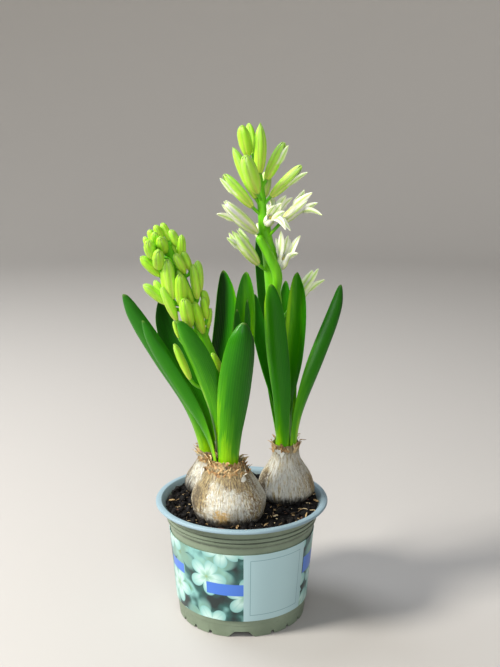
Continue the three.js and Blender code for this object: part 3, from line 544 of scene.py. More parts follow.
def leafMaterial():
    # waxy blade: yellow-green where it leaves the bulb, deep green above, with fine pale veins and a sheen,
    # and painted shade that deepens the green towards near black and painted light that pales it
    s = leafSettings
    material, tree, shader = newMaterial("waxy leaf", {
        "IOR": 1.42, "Specular IOR Level": 0.12, "Coat Weight": 0.2, "Coat Roughness": 0.24,
        "Subsurface Weight": 0.1, "Subsurface Radius": (0.0008, 0.0016, 0.0003), "Subsurface Scale": 1.0})
    along, across, shade = (addNode(tree, "Attribute", {"attribute_name": name}, "Fac")
                            for name in ("along", "across", "shade"))
    place = addNode(tree, "Attribute", {"attribute_name": "blade"}, "Vector")
    place = addNode(tree, "VectorMath", {"operation": "MULTIPLY", 0: place, 1: (1.0, 0.06, 1.0)})
    patches = addNode(tree, "TexNoise", {"Vector": place, "Scale": 1 / s["patch"], "Detail": 5.0,
                                         "Roughness": 0.6}, "Fac")
    # the shade mark carries painted shade, and painted light below 0, into the green's drift
    drift = addNode(tree, "Math", {"operation": "MULTIPLY_ADD", 0: patches, 1: 0.85, 2: -0.425})
    for operation, value in (("ADD", along), ("ADD", shade), ("MULTIPLY", 0.7)):
        drift = addNode(tree, "Math", {"operation": operation, 0: drift, 1: value})
    colour = addNode(tree, "ValToRGB", {0: drift, "stops": [
        (0.02, s["base"]), (0.13, s["low"]), (0.31, s["middle"]), (0.6, s["high"]), (0.95, s["deep"])]})
    edge = addNode(tree, "Math", {"operation": "ABSOLUTE", 0: across})
    edge = addNode(tree, "MapRange", {"interpolation_type": "SMOOTHSTEP", 0: edge, 1: 0.95, 4: 0.35})
    lines = addNode(tree, "Math", {"operation": "MULTIPLY", 0: patches, 1: 3.0})  # the veins wander a little
    lines = addNode(tree, "Math", {"operation": "MULTIPLY_ADD", 0: across, 1: s["veins"] * math.pi, 2: lines})
    lines = addNode(tree, "Math", {"operation": "SINE", 0: lines})
    paler = addNode(tree, "MapRange", {0: lines, 1: 0.2, 4: 0.2})
    tip = addNode(tree, "MapRange", {"interpolation_type": "SMOOTHSTEP", 0: along, 1: 0.98, 4: 0.4})
    for cover, over in ((edge, "margin"), (paler, "vein"), (tip, "tip")):
        colour = addNode(tree, "Mix", {"data_type": "RGBA", 0: cover, 6: colour, 7: s[over]}, 2)
    gloss = addNode(tree, "MapRange", {0: patches, 1: 0.3, 2: 0.7, 3: 0.3, 4: 0.44})
    bump = addNode(tree, "Bump", {"Distance": 0.00012, "Strength": 0.35, "Height": lines})
    feed(tree, shader, {"Base Color": colour, "Roughness": gloss, "Normal": bump})
    return material


def leafBody(leaf, seed):
    # a channelled blade that wraps the neck at its foot, along a cubic curve through the four places
    s = leafSettings
    name, plant, ring, turn, spread, width, faces, first, second, tip = leaf
    bulb, out = bulbs[plant], heading(turn)
    foot = np.array([*bulb["neck"], bulb["floor"] + s["seat"]]) + out * ring
    held = np.array([foot, first, second, tip])
    handleA = np.array([-5 / 6, 3, -1.5, 1 / 3]) @ held
    handleB = np.array([1 / 3, -1.5, 3, -5 / 6]) @ held
    t = (1 - (1 - np.linspace(0, 1, s["stations"])) ** 1.4)[:, None]  # closer stations towards the tip
    path = (foot * (1 - t) ** 3 + 3 * handleA * t * (1 - t) ** 2 + 3 * handleB * t ** 2 * (1 - t)
            + held[3] * t ** 3)
    forward = unit(3 * (handleA - foot) * (1 - t) ** 2 + 6 * (handleB - handleA) * t * (1 - t)
                   + 3 * (held[3] - handleB) * t ** 2)
    forward[0] = up
    turnIn = smooth(t / s["opened"])
    hollow = -out * (1 - turnIn) + heading(faces) * turnIn
    hollow = unit(hollow - forward * (hollow * forward).sum(1)[:, None])
    t, turnIn = t[:, 0], turnIn[:, 0]
    taper = (1 - (np.maximum(0, t - s["tapers"]) / (1 - s["tapers"])) ** 3) ** 0.5
    halves = np.maximum(mix(ring * math.radians(spread), width / 2, turnIn) * taper, s["tipHalf"])
    hood = smooth((t - s["hooded"]) / (1 - s["hooded"]))
    cup = mix(spread, s["rolled"].get(name, s["tipArc"]), turnIn) + s["hood"] * hood
    rng = np.random.default_rng(seed)
    sway = s["sway"] * np.sin(t * rng.uniform(7, 10) + rng.uniform(0, 6)) * smooth(t / 0.3) * (1 - t)
    path = path + np.cross(forward, hollow) * sway[:, None] + hollow * (s["tipLift"] * hood ** 2)[:, None]
    length = np.concatenate([[0], np.cumsum(np.linalg.norm(np.diff(path, axis=0), axis=1))])
    across = np.sin(np.linspace(-1, 1, s["columns"]) * math.pi / 2)
    across = np.concatenate([across, across[::-1]])  # one face, then the other
    blade = np.stack(np.broadcast_arrays(halves[:, None] * across, length[:, None], seed * 40.0), -1)
    # painted shade and painted light for this blade, from its foot to its tip and across it, on a small
    # random tone
    low, high, lean = s["paintedLeafShade"].get(name, [0.0, 0.0, 0.0])
    grown = np.clip((t - 0.08) / 0.4, 0, 1)  # the foot keeps its own pale green
    shade = rng.uniform(-0.03, 0.03) + (mix(low, high, t)[:, None] + lean * across) * grown[:, None]
    thick = mix(s["thick"], s["thin"], t) * (1 - 0.45 * hood)
    return strap(path, hollow, halves, thick, cup, s["columns"], s["edge"], along=t, shade=shade, blade=blade)


def makeLeaves():
    # the leaves of each plant, and their points, which the neck of its bulb opens round
    material = leafMaterial()
    outer = {plant: [] for plant in bulbs}
    for seed, leaf in enumerate(leafSettings["leaves"]):
        body = leafBody(leaf, seed)
        outer[leaf[1]].append(body["points"])
        addPiece(leaf[0] + "_blade", [body], [material], leaf[0], bend=60)
    return {plant: np.vstack(points) for plant, points in outer.items()}


# Bulbs
bulbSettings = {
    "rows": 120, "columns": 200, "ribs": 7, "ribSwell": 0.0175, "girth": 20.0, "leafGap": 0.35,
    "fold": 3.4, "crease": 1.5, "dent": 14, "notch": 2.2,  # widths of the relief on the skin and its rim
    "foldHigh": 0.3, "dentHigh": 0.6, "ragged": 1.5,  # and its heights
    "streak": 2.5, "fibre": 1.0, "patch": 5.0, "netCell": 3.33, "smear": 2.0, "scrap": 1.11,  # pattern
    # sizes across the skin; real fibres are a third as wide, too fine to show
    "flakes": {"front": 120, "left": 70, "right": 40},
    "flakeLength": [3.0, 6.4], "flakeHalf": [0.4, 1.5], "flakeTone": [-0.04, 0.32], "flakeThick": 0.18,
    "collar": {"front": 26, "left": 20, "right": 6},  # rows below the rim that the flakes grow from
    "shag": {"front": 12, "left": 11, "right": 8},  # height of the browned skin round each neck
    # heights below which the skin darkens: soil dirt with painted shade
    "grimeShadeLine": {"front": 91, "left": 94, "right": 94},
    "paleFlakes": {"front": [[314, 34, 9, 2.6], [333, 26, 5, 1.6]], "left": [[235, 14, 5, 1.8]],
                   "right": [[262, 7, 5, 2.4]]},  # turn, rows below the rim, length, half width
    # the grey-brown is painted shade, and dark is soil dirt with painted shade low down
    "cream": "#C8B788", "white": "#E6E6DA", "tan": "#A08854", "brown": "#4E3C24", "dark": "#17100B",
    "smoke": "#4A4034", "ochre": "#785A2A", "amber": "#CCA45A", "flake": "#AC8452",
    "marks": {  # kind, middle and half width in degrees round the bulb, low and high, strength; the marks of painted shade grey the sides, and those of soil dirt with painted shade darken the skin low down
        "front": [
            ["age", 212, 34, 93, 107, 0.26], ["age", 180, 46, 78, 100, 0.14],
            ["net", 322, 44, 78, 106, 0.95], ["age", 322, 36, 84, 104, 0.06],
            ["age", 285, 30, 90, 102, -0.1], ["amber", 262, 34, 80, 89, 1.0],
            ["age", 270, 30, 106, 112, 0.2], ["age", 215, 24, 88, 104, 0.16],
            ["soiled", 215, 46, 78, 90, 0.14], ["soiled", 270, 100, 76, 82, 0.22],
            ["age", 296, 34, 103, 110, 0.22], ["smoke", 200, 44, 76, 100, 0.3],
            ["smoke", 352, 30, 76, 94, 0.12], ["net", 60, 60, 80, 102, 0.7],
            ["age", 120, 50, 84, 104, 0.3]],
        "left": [
            ["smoke", 186, 24, 76, 100, 0.3], ["soiled", 215, 40, 78, 92, 0.3],
            ["age", 165, 40, 82, 100, 0.3], ["age", 60, 60, 82, 98, 0.25]],
        "right": [
            ["smoke", 205, 44, 78, 98, 0.3], ["age", 200, 34, 80, 100, 0.2],
            # the negative age at 265 degrees is painted light: the skin painted paler where the front bulb
            # shades it
            ["age", 345, 26, 78, 94, 0.34], ["age", 265, 60, 84, 106, -0.4],
            ["net", 320, 50, 80, 104, 0.45], ["smoke", 262, 16, 86, 96, 0.12],
            ["age", 90, 60, 80, 98, 0.25], ["soiled", 280, 90, 76, 83, 0.1]],
    },
}


def bulbMaterial():
    # dry papery tunic: pale with fine streaks up it, tan veils and netting where it has aged, painted shade
    # as a grey-brown haze on the sides, and dark low down where soil sticks, with painted shade there too
    s = bulbSettings
    material, tree, shader = newMaterial("dry papery skin", {
        "IOR": 1.45, "Specular IOR Level": 0.4, "Subsurface Weight": 0.06,
        "Subsurface Radius": (0.002, 0.0014, 0.0008), "Subsurface Scale": 1.0, "Coat Weight": 0.15,
        "Coat Roughness": 0.3})
    place = addNode(tree, "Attribute", {"attribute_name": "skin"}, "Vector")
    age, net, amber, smoke, soiled = (addNode(tree, "Attribute", {"attribute_name": name}, "Fac")
                                      for name in ("age", "net", "amber", "smoke", "soiled"))
    # noises, each with the height of the skin squeezed so that its features run up the bulb
    streaks, fibres, patches, cells, smear = (
        addNode(tree, "TexNoise", {
            "Vector": addNode(tree, "VectorMath", {
                "operation": "MULTIPLY", 0: place, 1: (1.0, 1.0, squeeze)}),
            "Scale": 1 / s[size], "Detail": detail, "Roughness": coarse, "Distortion": bent}, "Fac")
        for size, squeeze, detail, coarse, bent in (
            ("streak", 0.22, 6.0, 0.72, 0.0), ("fibre", 0.22, 4.0, 0.65, 0.0), ("patch", 1.0, 8.0, 0.74, 2.2),
            ("netCell", 0.4, 5.0, 0.5, 1.6), ("smear", 0.3, 6.0, 0.75, 0.0)))
    colour = addNode(tree, "ValToRGB", {0: streaks, "stops": [
        (0.36, s["cream"]), (0.48, s["white"]), (0.56, s["white"]), (0.66, s["cream"])]})
    old = addNode(tree, "ValToRGB", {0: fibres, "stops": [
        (0.38, s["brown"]), (0.5, s["tan"]), (0.62, s["cream"])]})
    thin = addNode(tree, "MapRange", {0: fibres, 1: 0.52, 2: 0.64, 4: 0.6})
    cloudy = addNode(tree, "Math", {"operation": "MULTIPLY_ADD", 0: streaks, 1: 0.5, 2: patches})
    veil = addNode(tree, "Math", {"operation": "ADD", 0: cloudy, 1: age})
    amber = addNode(tree, "Math", {"operation": "MULTIPLY_ADD", 0: amber, 1: 0.42, 2: cloudy})
    ridge = addNode(tree, "Math", {"operation": "MULTIPLY", 0: cells, 1: 6.0})
    ridge = addNode(tree, "Math", {"operation": "PINGPONG", 0: ridge, 1: 0.5})
    ridge = addNode(tree, "MapRange", {"interpolation_type": "SMOOTHSTEP", 0: ridge, 1: 0.3, 2: 0.04})
    net = addNode(tree, "Math", {"operation": "MULTIPLY", 0: net, 1: ridge})
    net = addNode(tree, "MapRange", {0: net, 2: 0.7, 4: 0.85})
    # painted shade: a grey-brown haze where its marks lie, broken up by the noises
    haze = addNode(tree, "Math", {"operation": "MULTIPLY_ADD", 0: patches, 1: 0.8, 2: smoke})
    haze = addNode(tree, "Math", {"operation": "MULTIPLY_ADD", 0: fibres, 1: 0.7, 2: haze})
    # soil dirt with painted shade, darker low down and mottled
    grimeShade = addNode(tree, "Math", {"operation": "ADD", 0: smear, 1: soiled})
    veil, amber, haze, grimeShade = (
        addNode(tree, "MapRange", {"interpolation_type": "SMOOTHSTEP", 0: value, 1: low, 2: high, 4: most})
        for value, low, high, most in ((veil, 0.68, 0.92, 0.9), (amber, 0.95, 1.2, 0.85),
                                       (haze, 0.88, 1.12, 0.85), (grimeShade, 0.56, 0.92, 0.92)))
    for cover, shade in ((thin, s["tan"]), (veil, old), (amber, s["amber"]), (net, s["ochre"]),
                         (haze, s["smoke"]), (grimeShade, s["dark"])):
        colour = addNode(tree, "Mix", {"data_type": "RGBA", 0: cover, 6: colour, 7: shade}, 2)
    gloss = addNode(tree, "MapRange", {0: streaks, 1: 0.3, 2: 0.7, 3: 0.7, 4: 0.45})
    relief = addNode(tree, "Math", {"operation": "MULTIPLY_ADD", 0: fibres, 1: 0.5, 2: streaks})
    relief = addNode(tree, "Math", {"operation": "MULTIPLY_ADD", 0: ridge, 1: -0.12, 2: relief})
    bump = addNode(tree, "Bump", {"Distance": 0.003, "Strength": 1.0, "Height": relief})
    feed(tree, shader, {"Base Color": colour, "Roughness": gloss, "Normal": bump})
    return material


def flakeMaterial():
    # torn tunic tips: thin brown paper, lighter where it is thinnest
    s = bulbSettings
    material, tree, shader = newMaterial("torn brown tunic", {"IOR": 1.45, "Roughness": 0.6})
    place = addNode(tree, "Attribute", {"attribute_name": "skin"}, "Vector")
    tone = addNode(tree, "Attribute", {"attribute_name": "age"}, "Fac")
    grain = addNode(tree, "TexNoise", {"Vector": place, "Scale": 1 / s["scrap"], "Detail": 5.0}, "Fac")
    tone = addNode(tree, "Math", {"operation": "MULTIPLY_ADD", 0: grain, 1: 0.7, 2: tone})
    colour = addNode(tree, "ValToRGB", {0: tone, "stops": [
        (0.22, s["brown"]), (0.42, s["flake"]), (0.68, s["cream"]), (0.95, s["white"])]})
    bump = addNode(tree, "Bump", {"Distance": 0.0006, "Strength": 0.7, "Height": grain})
    feed(tree, shader, {"Base Color": colour, "Normal": bump})
    return material


def bulbRings(bulb, profile, angle, seed, leafPoints):
    # rings up the outside of a bulb to its torn rim, then down inside the neck to the socket's floor
    s = bulbSettings
    low, high, floor = profile[0, 1], profile[-1, 1], bulb["floor"]
    radius, z = profile[:, :1], profile[:, 1:]
    rise = smooth((z - low) / (high - low))
    swell = np.sin(math.pi * rise)
    body = hoop(radius, angle, z)
    folds = (rough(body * [1, 1, 0.14], s["fold"], seed)
             + 0.5 * rough(body * [1, 1, 0.1], s["crease"], seed + 4))
    ribs = np.sin(angle * s["ribs"] + bulb["twist"]) * s["ribSwell"]
    dents = s["dentHigh"] * rough(body, s["dent"], seed + 9)
    grown = radius * (1 + ribs * swell) + swell * (s["foldHigh"] * folds + dents)
    # the neck opens round the leaves that leave it
    neck = np.array(bulb["neck"])
    near = leafPoints[leafPoints[:, 2] < high + 6]
    leafX, leafY = (near[:, :2] - neck).T
    leafTurn, leafRadius = np.arctan2(leafY, leafX), np.hypot(leafX, leafY)
    for i in np.flatnonzero(profile[:, 1] > floor - 1):
        band = np.abs(near[:, 2] - profile[i, 1]) < 1.2
        if band.any():
            away = np.abs((leafTurn[band] - angle[:, None] + math.pi) % (2 * math.pi) - math.pi)
            reach = np.where(away < 0.12, leafRadius[band], 0).max(1)
            grown[i] = np.maximum(grown[i], reach + s["leafGap"])
    ragged = s["ragged"] * rough(hoop(8, angle, 0.0), s["notch"], seed + 2)
    height = z + smooth((z - (high - 5)) / 5) * ragged
    middle = mix(np.array(bulb["body"]), neck, rise)
    rings = hoop(grown, angle, height, (middle[:, :1], middle[:, 1:]))
    inside = [  # from just under the rim down to the socket's floor, and from the rim's width to its own
        hoop(mix(bulb["socket"], grown[-1] * 0.97, share), angle, np.maximum(height[-1] - depth, floor), neck)
        for depth, share in ((0.15, 0.96), (1.2, 0.9), (3, 0.5), (6, 0.0), (high, 0.0))]
    return np.concatenate([rings, np.array(inside)])


def bulbMarks(plant, profile, angle, seed, rows):
    # where the skin has aged, netted and stained, where painted shade greys it, where soil dirt with painted
    # shade darkens it, and its place for the noises in the material
    s = bulbSettings
    top, high = profile[:, 1:] * np.ones_like(angle), profile[-1, 1]
    marks = {name: np.zeros_like(top) for name in ("age", "net", "amber", "smoke", "soiled")}
    marks["age"] += 0.42 * smooth((top - high + s["shag"][plant]) / 8) - 0.03
    # darker towards the bottom: soil dirt with painted shade
    marks["soiled"] += 0.5 * smooth((s["grimeShadeLine"][plant] - top) / 18) - 0.12
    for kind, middle, wide, lowest, highest, strength in s["marks"][plant]:
        away = np.abs((np.degrees(angle) - middle + 180) % 360 - 180)
        band = smooth((top - lowest + 5) / 5) * smooth((highest + 5 - top) / 5)
        marks[kind] += strength * smooth(1 - away / wide) * band
    drop = np.diff(profile, axis=0, prepend=profile[:1])
    climb = np.cumsum(np.hypot(drop[:, 0], drop[:, 1]))[:, None]
    marks["skin"] = hoop(s["girth"], angle, climb) + seed * 60.0
    return {name: np.concatenate([value, np.repeat(value[-1:], rows - len(value), 0)])
            for name, value in marks.items()}


def collarFlakes(plant, rings, seed):
    # torn scales in a shaggy collar round the neck, thin and curled
    s = bulbSettings
    rng = np.random.default_rng(seed)
    highest = bulbs[plant]["outline"][-1][1] + 2.2
    flakes = [[(k * 0.618 + rng.uniform(-0.02, 0.02)) % 1 * 360,  # turn, by the golden ratio
               2 + int(s["collar"][plant] * rng.random() ** 1.2),
               rng.uniform(*s["flakeLength"]) + (2.5 if k % 9 == 0 else 0), rng.uniform(*s["flakeHalf"]),
               rng.uniform(*s["flakeTone"])] for k in range(s["flakes"][plant])]
    flakes += [[*flake, 0.62] for flake in s["paleFlakes"][plant]]
    steps = np.linspace(0, 1, 8)[:, None]
    bodies = []
    for k, (turn, below, size, half, tone) in enumerate(flakes):
        column = int(turn / 360 * s["columns"]) % s["columns"]
        start = s["rows"] - below
        out = heading(turn)
        base, before = rings[start, column], rings[start - 3, column]
        along = unit(unit(base - before) + up * 0.7)
        away = unit(out + up * 0.25)
        sideways = np.cross(up, out) * rng.normal() * 0.75
        curl = rng.uniform(0.05, 0.45) + (0.4 if k % 5 == 0 else 0)
        path = (base - along * 0.4 + away * (0.2 + curl * size * steps ** 2)
                + (along + sideways) * size * steps * (1 - 0.45 * curl * steps))
        path[:, 2] = np.minimum(path[:, 2], highest)
        halves = half * (1 - steps[:, 0] ** 1.3) ** 0.9 * rng.uniform(0.6, 1.3, 8) + 0.08
        skin = np.broadcast_to(path[:, None], (8, 14, 3)) + seed * 60.0
        bodies.append(strap(path, -away, halves, s["flakeThick"], rng.uniform(14, 50), edge=0.7, paint=1,
                            skin=skin, age=tone))
    return bodies


def makeBulbs(leafPoints):
    # each bulb with its flakes, its neck open round the leaves that leave it
    s = bulbSettings
    materials = [bulbMaterial(), flakeMaterial()]
    angle = circle(s["columns"])
    for seed, (plant, bulb) in enumerate(bulbs.items(), start=1):
        profile = spline(bulb["outline"], np.linspace(0, 1, s["rows"]))
        rings = bulbRings(bulb, profile, angle, seed, leafPoints[plant])
        skin = loft(rings, bulbMarks(plant, profile, angle, seed, len(rings)))
        addPiece(f"bulb_{plant}_skin", [skin] + collarFlakes(plant, rings, seed), materials,
                 f"bulb_{plant}", bend=50)


# Soil
soilSettings = {
    "rings": 115, "segments": 400, "level": 77, "relief": 0.56, "mound": 1.4, "dish": 3.4,
    "edge": [[52.9, 81.0], [49.6, 77.6], [48.6, 66.5], [43.3, 5.9]],  # radius and height, as the pot's wall
    "lumps": [[0.9, 4.2], [0.7, 1.9], [0.4, 0.9]],  # height and width of the lumps on the surface
    "outer": 52.5,  # how far from the axis crumbs and chips lie
    "crumb": {"count": 900, "radius": [0.35, 0.9], "larger": 1.9},  # what a few of them add to the radius
    "chip": {"count": 95, "shortest": 0.8, "longer": 6.4, "thickness": [0.3, 0.7]},
    "fibre": {"count": 55, "outer": 49, "length": [4, 13], "radius": [0.1, 0.24], "highest": 82},
    "peatGrain": 1.43, "woodGrain": 0.833,  # the wood's own grain is finer, too fine to show
    "black": "#070504", "umber": "#0E0A07", "peat": "#21160E", "wood": "#A88A5C", "pale": "#DCCCA2",
    "red": "#4C3020",
}


def soilHeight(x, y):
    s = soilSettings
    crumbs = np.sin(x * 0.31 + 1.3 * np.sin(y * 0.17)) + np.sin(y * 0.37 + 1.7 * np.sin(x * 0.21))
    heap = 0.0  # the soil is heaped a little round each bulb, and rises to the wall
    for bulb in bulbs.values():
        away = np.hypot(x - bulb["body"][0], y - bulb["body"][1])
        heap = np.maximum(heap, np.exp(-(away / 26) ** 4))
    dish = (np.hypot(x, y) / s["edge"][0][0]) ** 4
    return s["level"] + s["relief"] * crumbs + s["mound"] * heap + s["dish"] * dish


def soilMaterial():
    # damp peat: near-black crumbs with brown ones among them, dull with a few wet glints
    s = soilSettings
    material, tree, shader = newMaterial("damp peat", {"IOR": 1.4, "Specular IOR Level": 0.3})
    place = addNode(tree, "NewGeometry", {}, "Position")
    tone = addNode(tree, "Attribute", {"attribute_name": "tone"}, "Fac")
    grain = addNode(tree, "TexNoise", {"Vector": place, "Scale": 1 / (s["peatGrain"] * millimetre),
                                       "Detail": 4.0}, "Fac")
    tone = addNode(tree, "Math", {"operation": "MULTIPLY_ADD", 0: grain, 1: 0.6, 2: tone})
    colour = addNode(tree, "ValToRGB", {0: tone, "stops": [
        (0.3, s["black"]), (0.7, s["umber"]), (1.0, s["peat"])]})
    gloss = addNode(tree, "MapRange", {0: grain, 1: 0.3, 2: 0.7, 3: 0.95, 4: 0.6})
    bump = addNode(tree, "Bump", {"Distance": 0.0006, "Strength": 0.8, "Height": grain})
    feed(tree, shader, {"Base Color": colour, "Roughness": gloss, "Normal": bump})
    return material


def woodMaterial():
    # wood chips and fibres: straw to rust, dry and dull
    s = soilSettings
    material, tree, shader = newMaterial("wood chips", {"IOR": 1.5, "Roughness": 0.75})
    place = addNode(tree, "NewGeometry", {}, "Position")
    tone = addNode(tree, "Attribute", {"attribute_name": "tone"}, "Fac")
    grain = addNode(tree, "TexNoise", {"Vector": place, "Scale": 1 / (s["woodGrain"] * millimetre),
                                       "Detail": 3.0}, "Fac")
    tone = addNode(tree, "Math", {"operation": "MULTIPLY_ADD", 0: grain, 1: 0.3, 2: tone})
    colour = addNode(tree, "ValToRGB", {0: tone, "stops": [
        (0.15, s["red"]), (0.35, s["umber"]), (0.7, s["wood"]), (1.0, s["pale"])]})
    feed(tree, shader, {"Base Color": colour})
    return material


def freePlace(rng, reach=soilSettings["outer"]):
    # a place on the soil that no bulb covers
    while True:
        x, y = rng.uniform(-reach, reach, 2)
        clear = all(math.hypot(x - b["body"][0], y - b["body"][1]) > b["outline"][3][0] + 0.8
                    for b in bulbs.values())
        if x * x + y * y < reach * reach and clear:
            return x, y


def crumb(rng):
    # a small uneven lump that lies on the soil
    s = soilSettings["crumb"]
    x, y = freePlace(rng)
    size = rng.uniform(*s["radius"]) + s["larger"] * rng.random() ** 6
    axis, other = unit(rng.normal(size=3)), rng.normal(size=3)
    across = unit(np.cross(axis, other))
    third = np.cross(axis, across)
    turns = circle(9)
    centre = np.array([x, y, soilHeight(x, y) + 0.35 * size])
    stretch = rng.uniform(0.7, 1.3, 3)
    rows = []
    for lift in np.linspace(-1.35, 1.35, 6):
        row = (centre + axis * math.sin(lift) * size * stretch[0]
               + math.cos(lift) * size * (np.outer(np.cos(turns), across) * stretch[1]
                                          + np.outer(np.sin(turns), third) * stretch[2]))
        rows.append(row + rng.normal(size=row.shape) * 0.16 * size)
    return loft(np.array(rows), {"tone": rng.uniform(-0.15, 0.3)})


def chip(rng):
    # a flat splinter of wood
    s = soilSettings["chip"]
    x, y = freePlace(rng)
    length = s["shortest"] + s["longer"] * rng.random() ** 2.4
    half = length * rng.uniform(0.07, 0.2) + 0.12
    turn, lean = rng.uniform(0, 360), rng.uniform(-14, 14)
    centre = np.array([x, y, soilHeight(x, y) + rng.uniform(0.6, 1.3)])
    path = centre + heading(turn, lean) * length * np.linspace(-0.5, 0.5, 6)[:, None]
    shape = half * np.array([0.35, 0.8, 1.0, 0.95, 0.8, 0.3]) * rng.uniform(0.8, 1.2, 6)
    normal = unit(up + rng.normal(size=3) * 0.3)
    return strap(path, normal, shape, rng.uniform(*s["thickness"]), 8, columns=5, edge=0.7, paint=1,
                 tone=rng.choice([0.0, 0.4, 0.55, 0.75], p=[0.14, 0.2, 0.36, 0.3]))


def fibre(rng, k):
    # a thin bowed thread that follows the soil, below the rim
    s = soilSettings["fibre"]
    x, y = freePlace(rng, s["outer"])
    length, turn, curl = rng.uniform(*s["length"]), rng.uniform(0, 360), rng.uniform(-0.35, 0.35)
    steps = np.linspace(-0.5, 0.5, 10)
    path = [x, y, 0] + (np.outer(steps * length, heading(turn))
                        + np.outer((steps ** 2 - 0.1) * curl * length, heading(turn + 90)))
    waves = soilHeight(path[:, 0], path[:, 1]) + 0.8 + 0.5 * np.sin(steps * 9 + k)
    path[:, 2] = np.minimum(waves, s["highest"])
    return rod(path, rng.uniform(*s["radius"]), 5, paint=1, tone=rng.uniform(0.25, 0.8))


def makeSoil():
    s = soilSettings
    rng = np.random.default_rng(5)
    angle = circle(s["segments"])
    reach = np.linspace(0.4, s["edge"][0][0], s["rings"])[:, None]
    flat = hoop(reach, angle, 0.0)
    lumps = sum(high * rough(flat, wide, seed) for seed, (high, wide) in enumerate(s["lumps"], start=1))
    top = hoop(reach, angle, soilHeight(flat[..., 0], flat[..., 1]) + lumps)
    under = [hoop(radius, angle, height) for radius, height in s["edge"][1:]]
    tone = np.concatenate([0.25 * rough(flat, 2.0, 6) + 0.1, np.zeros((len(under), len(angle)))])
    parts = [loft(np.concatenate([top, np.array(under)]), {"tone": tone})]
    parts += [crumb(rng) for _ in range(s["crumb"]["count"])]
    parts += [chip(rng) for _ in range(s["chip"]["count"])]
    parts += [fibre(rng, k) for k in range(s["fibre"]["count"])]
    addPiece("soil_surface", parts, [soilMaterial(), woodMaterial()], "soil", bend=70)


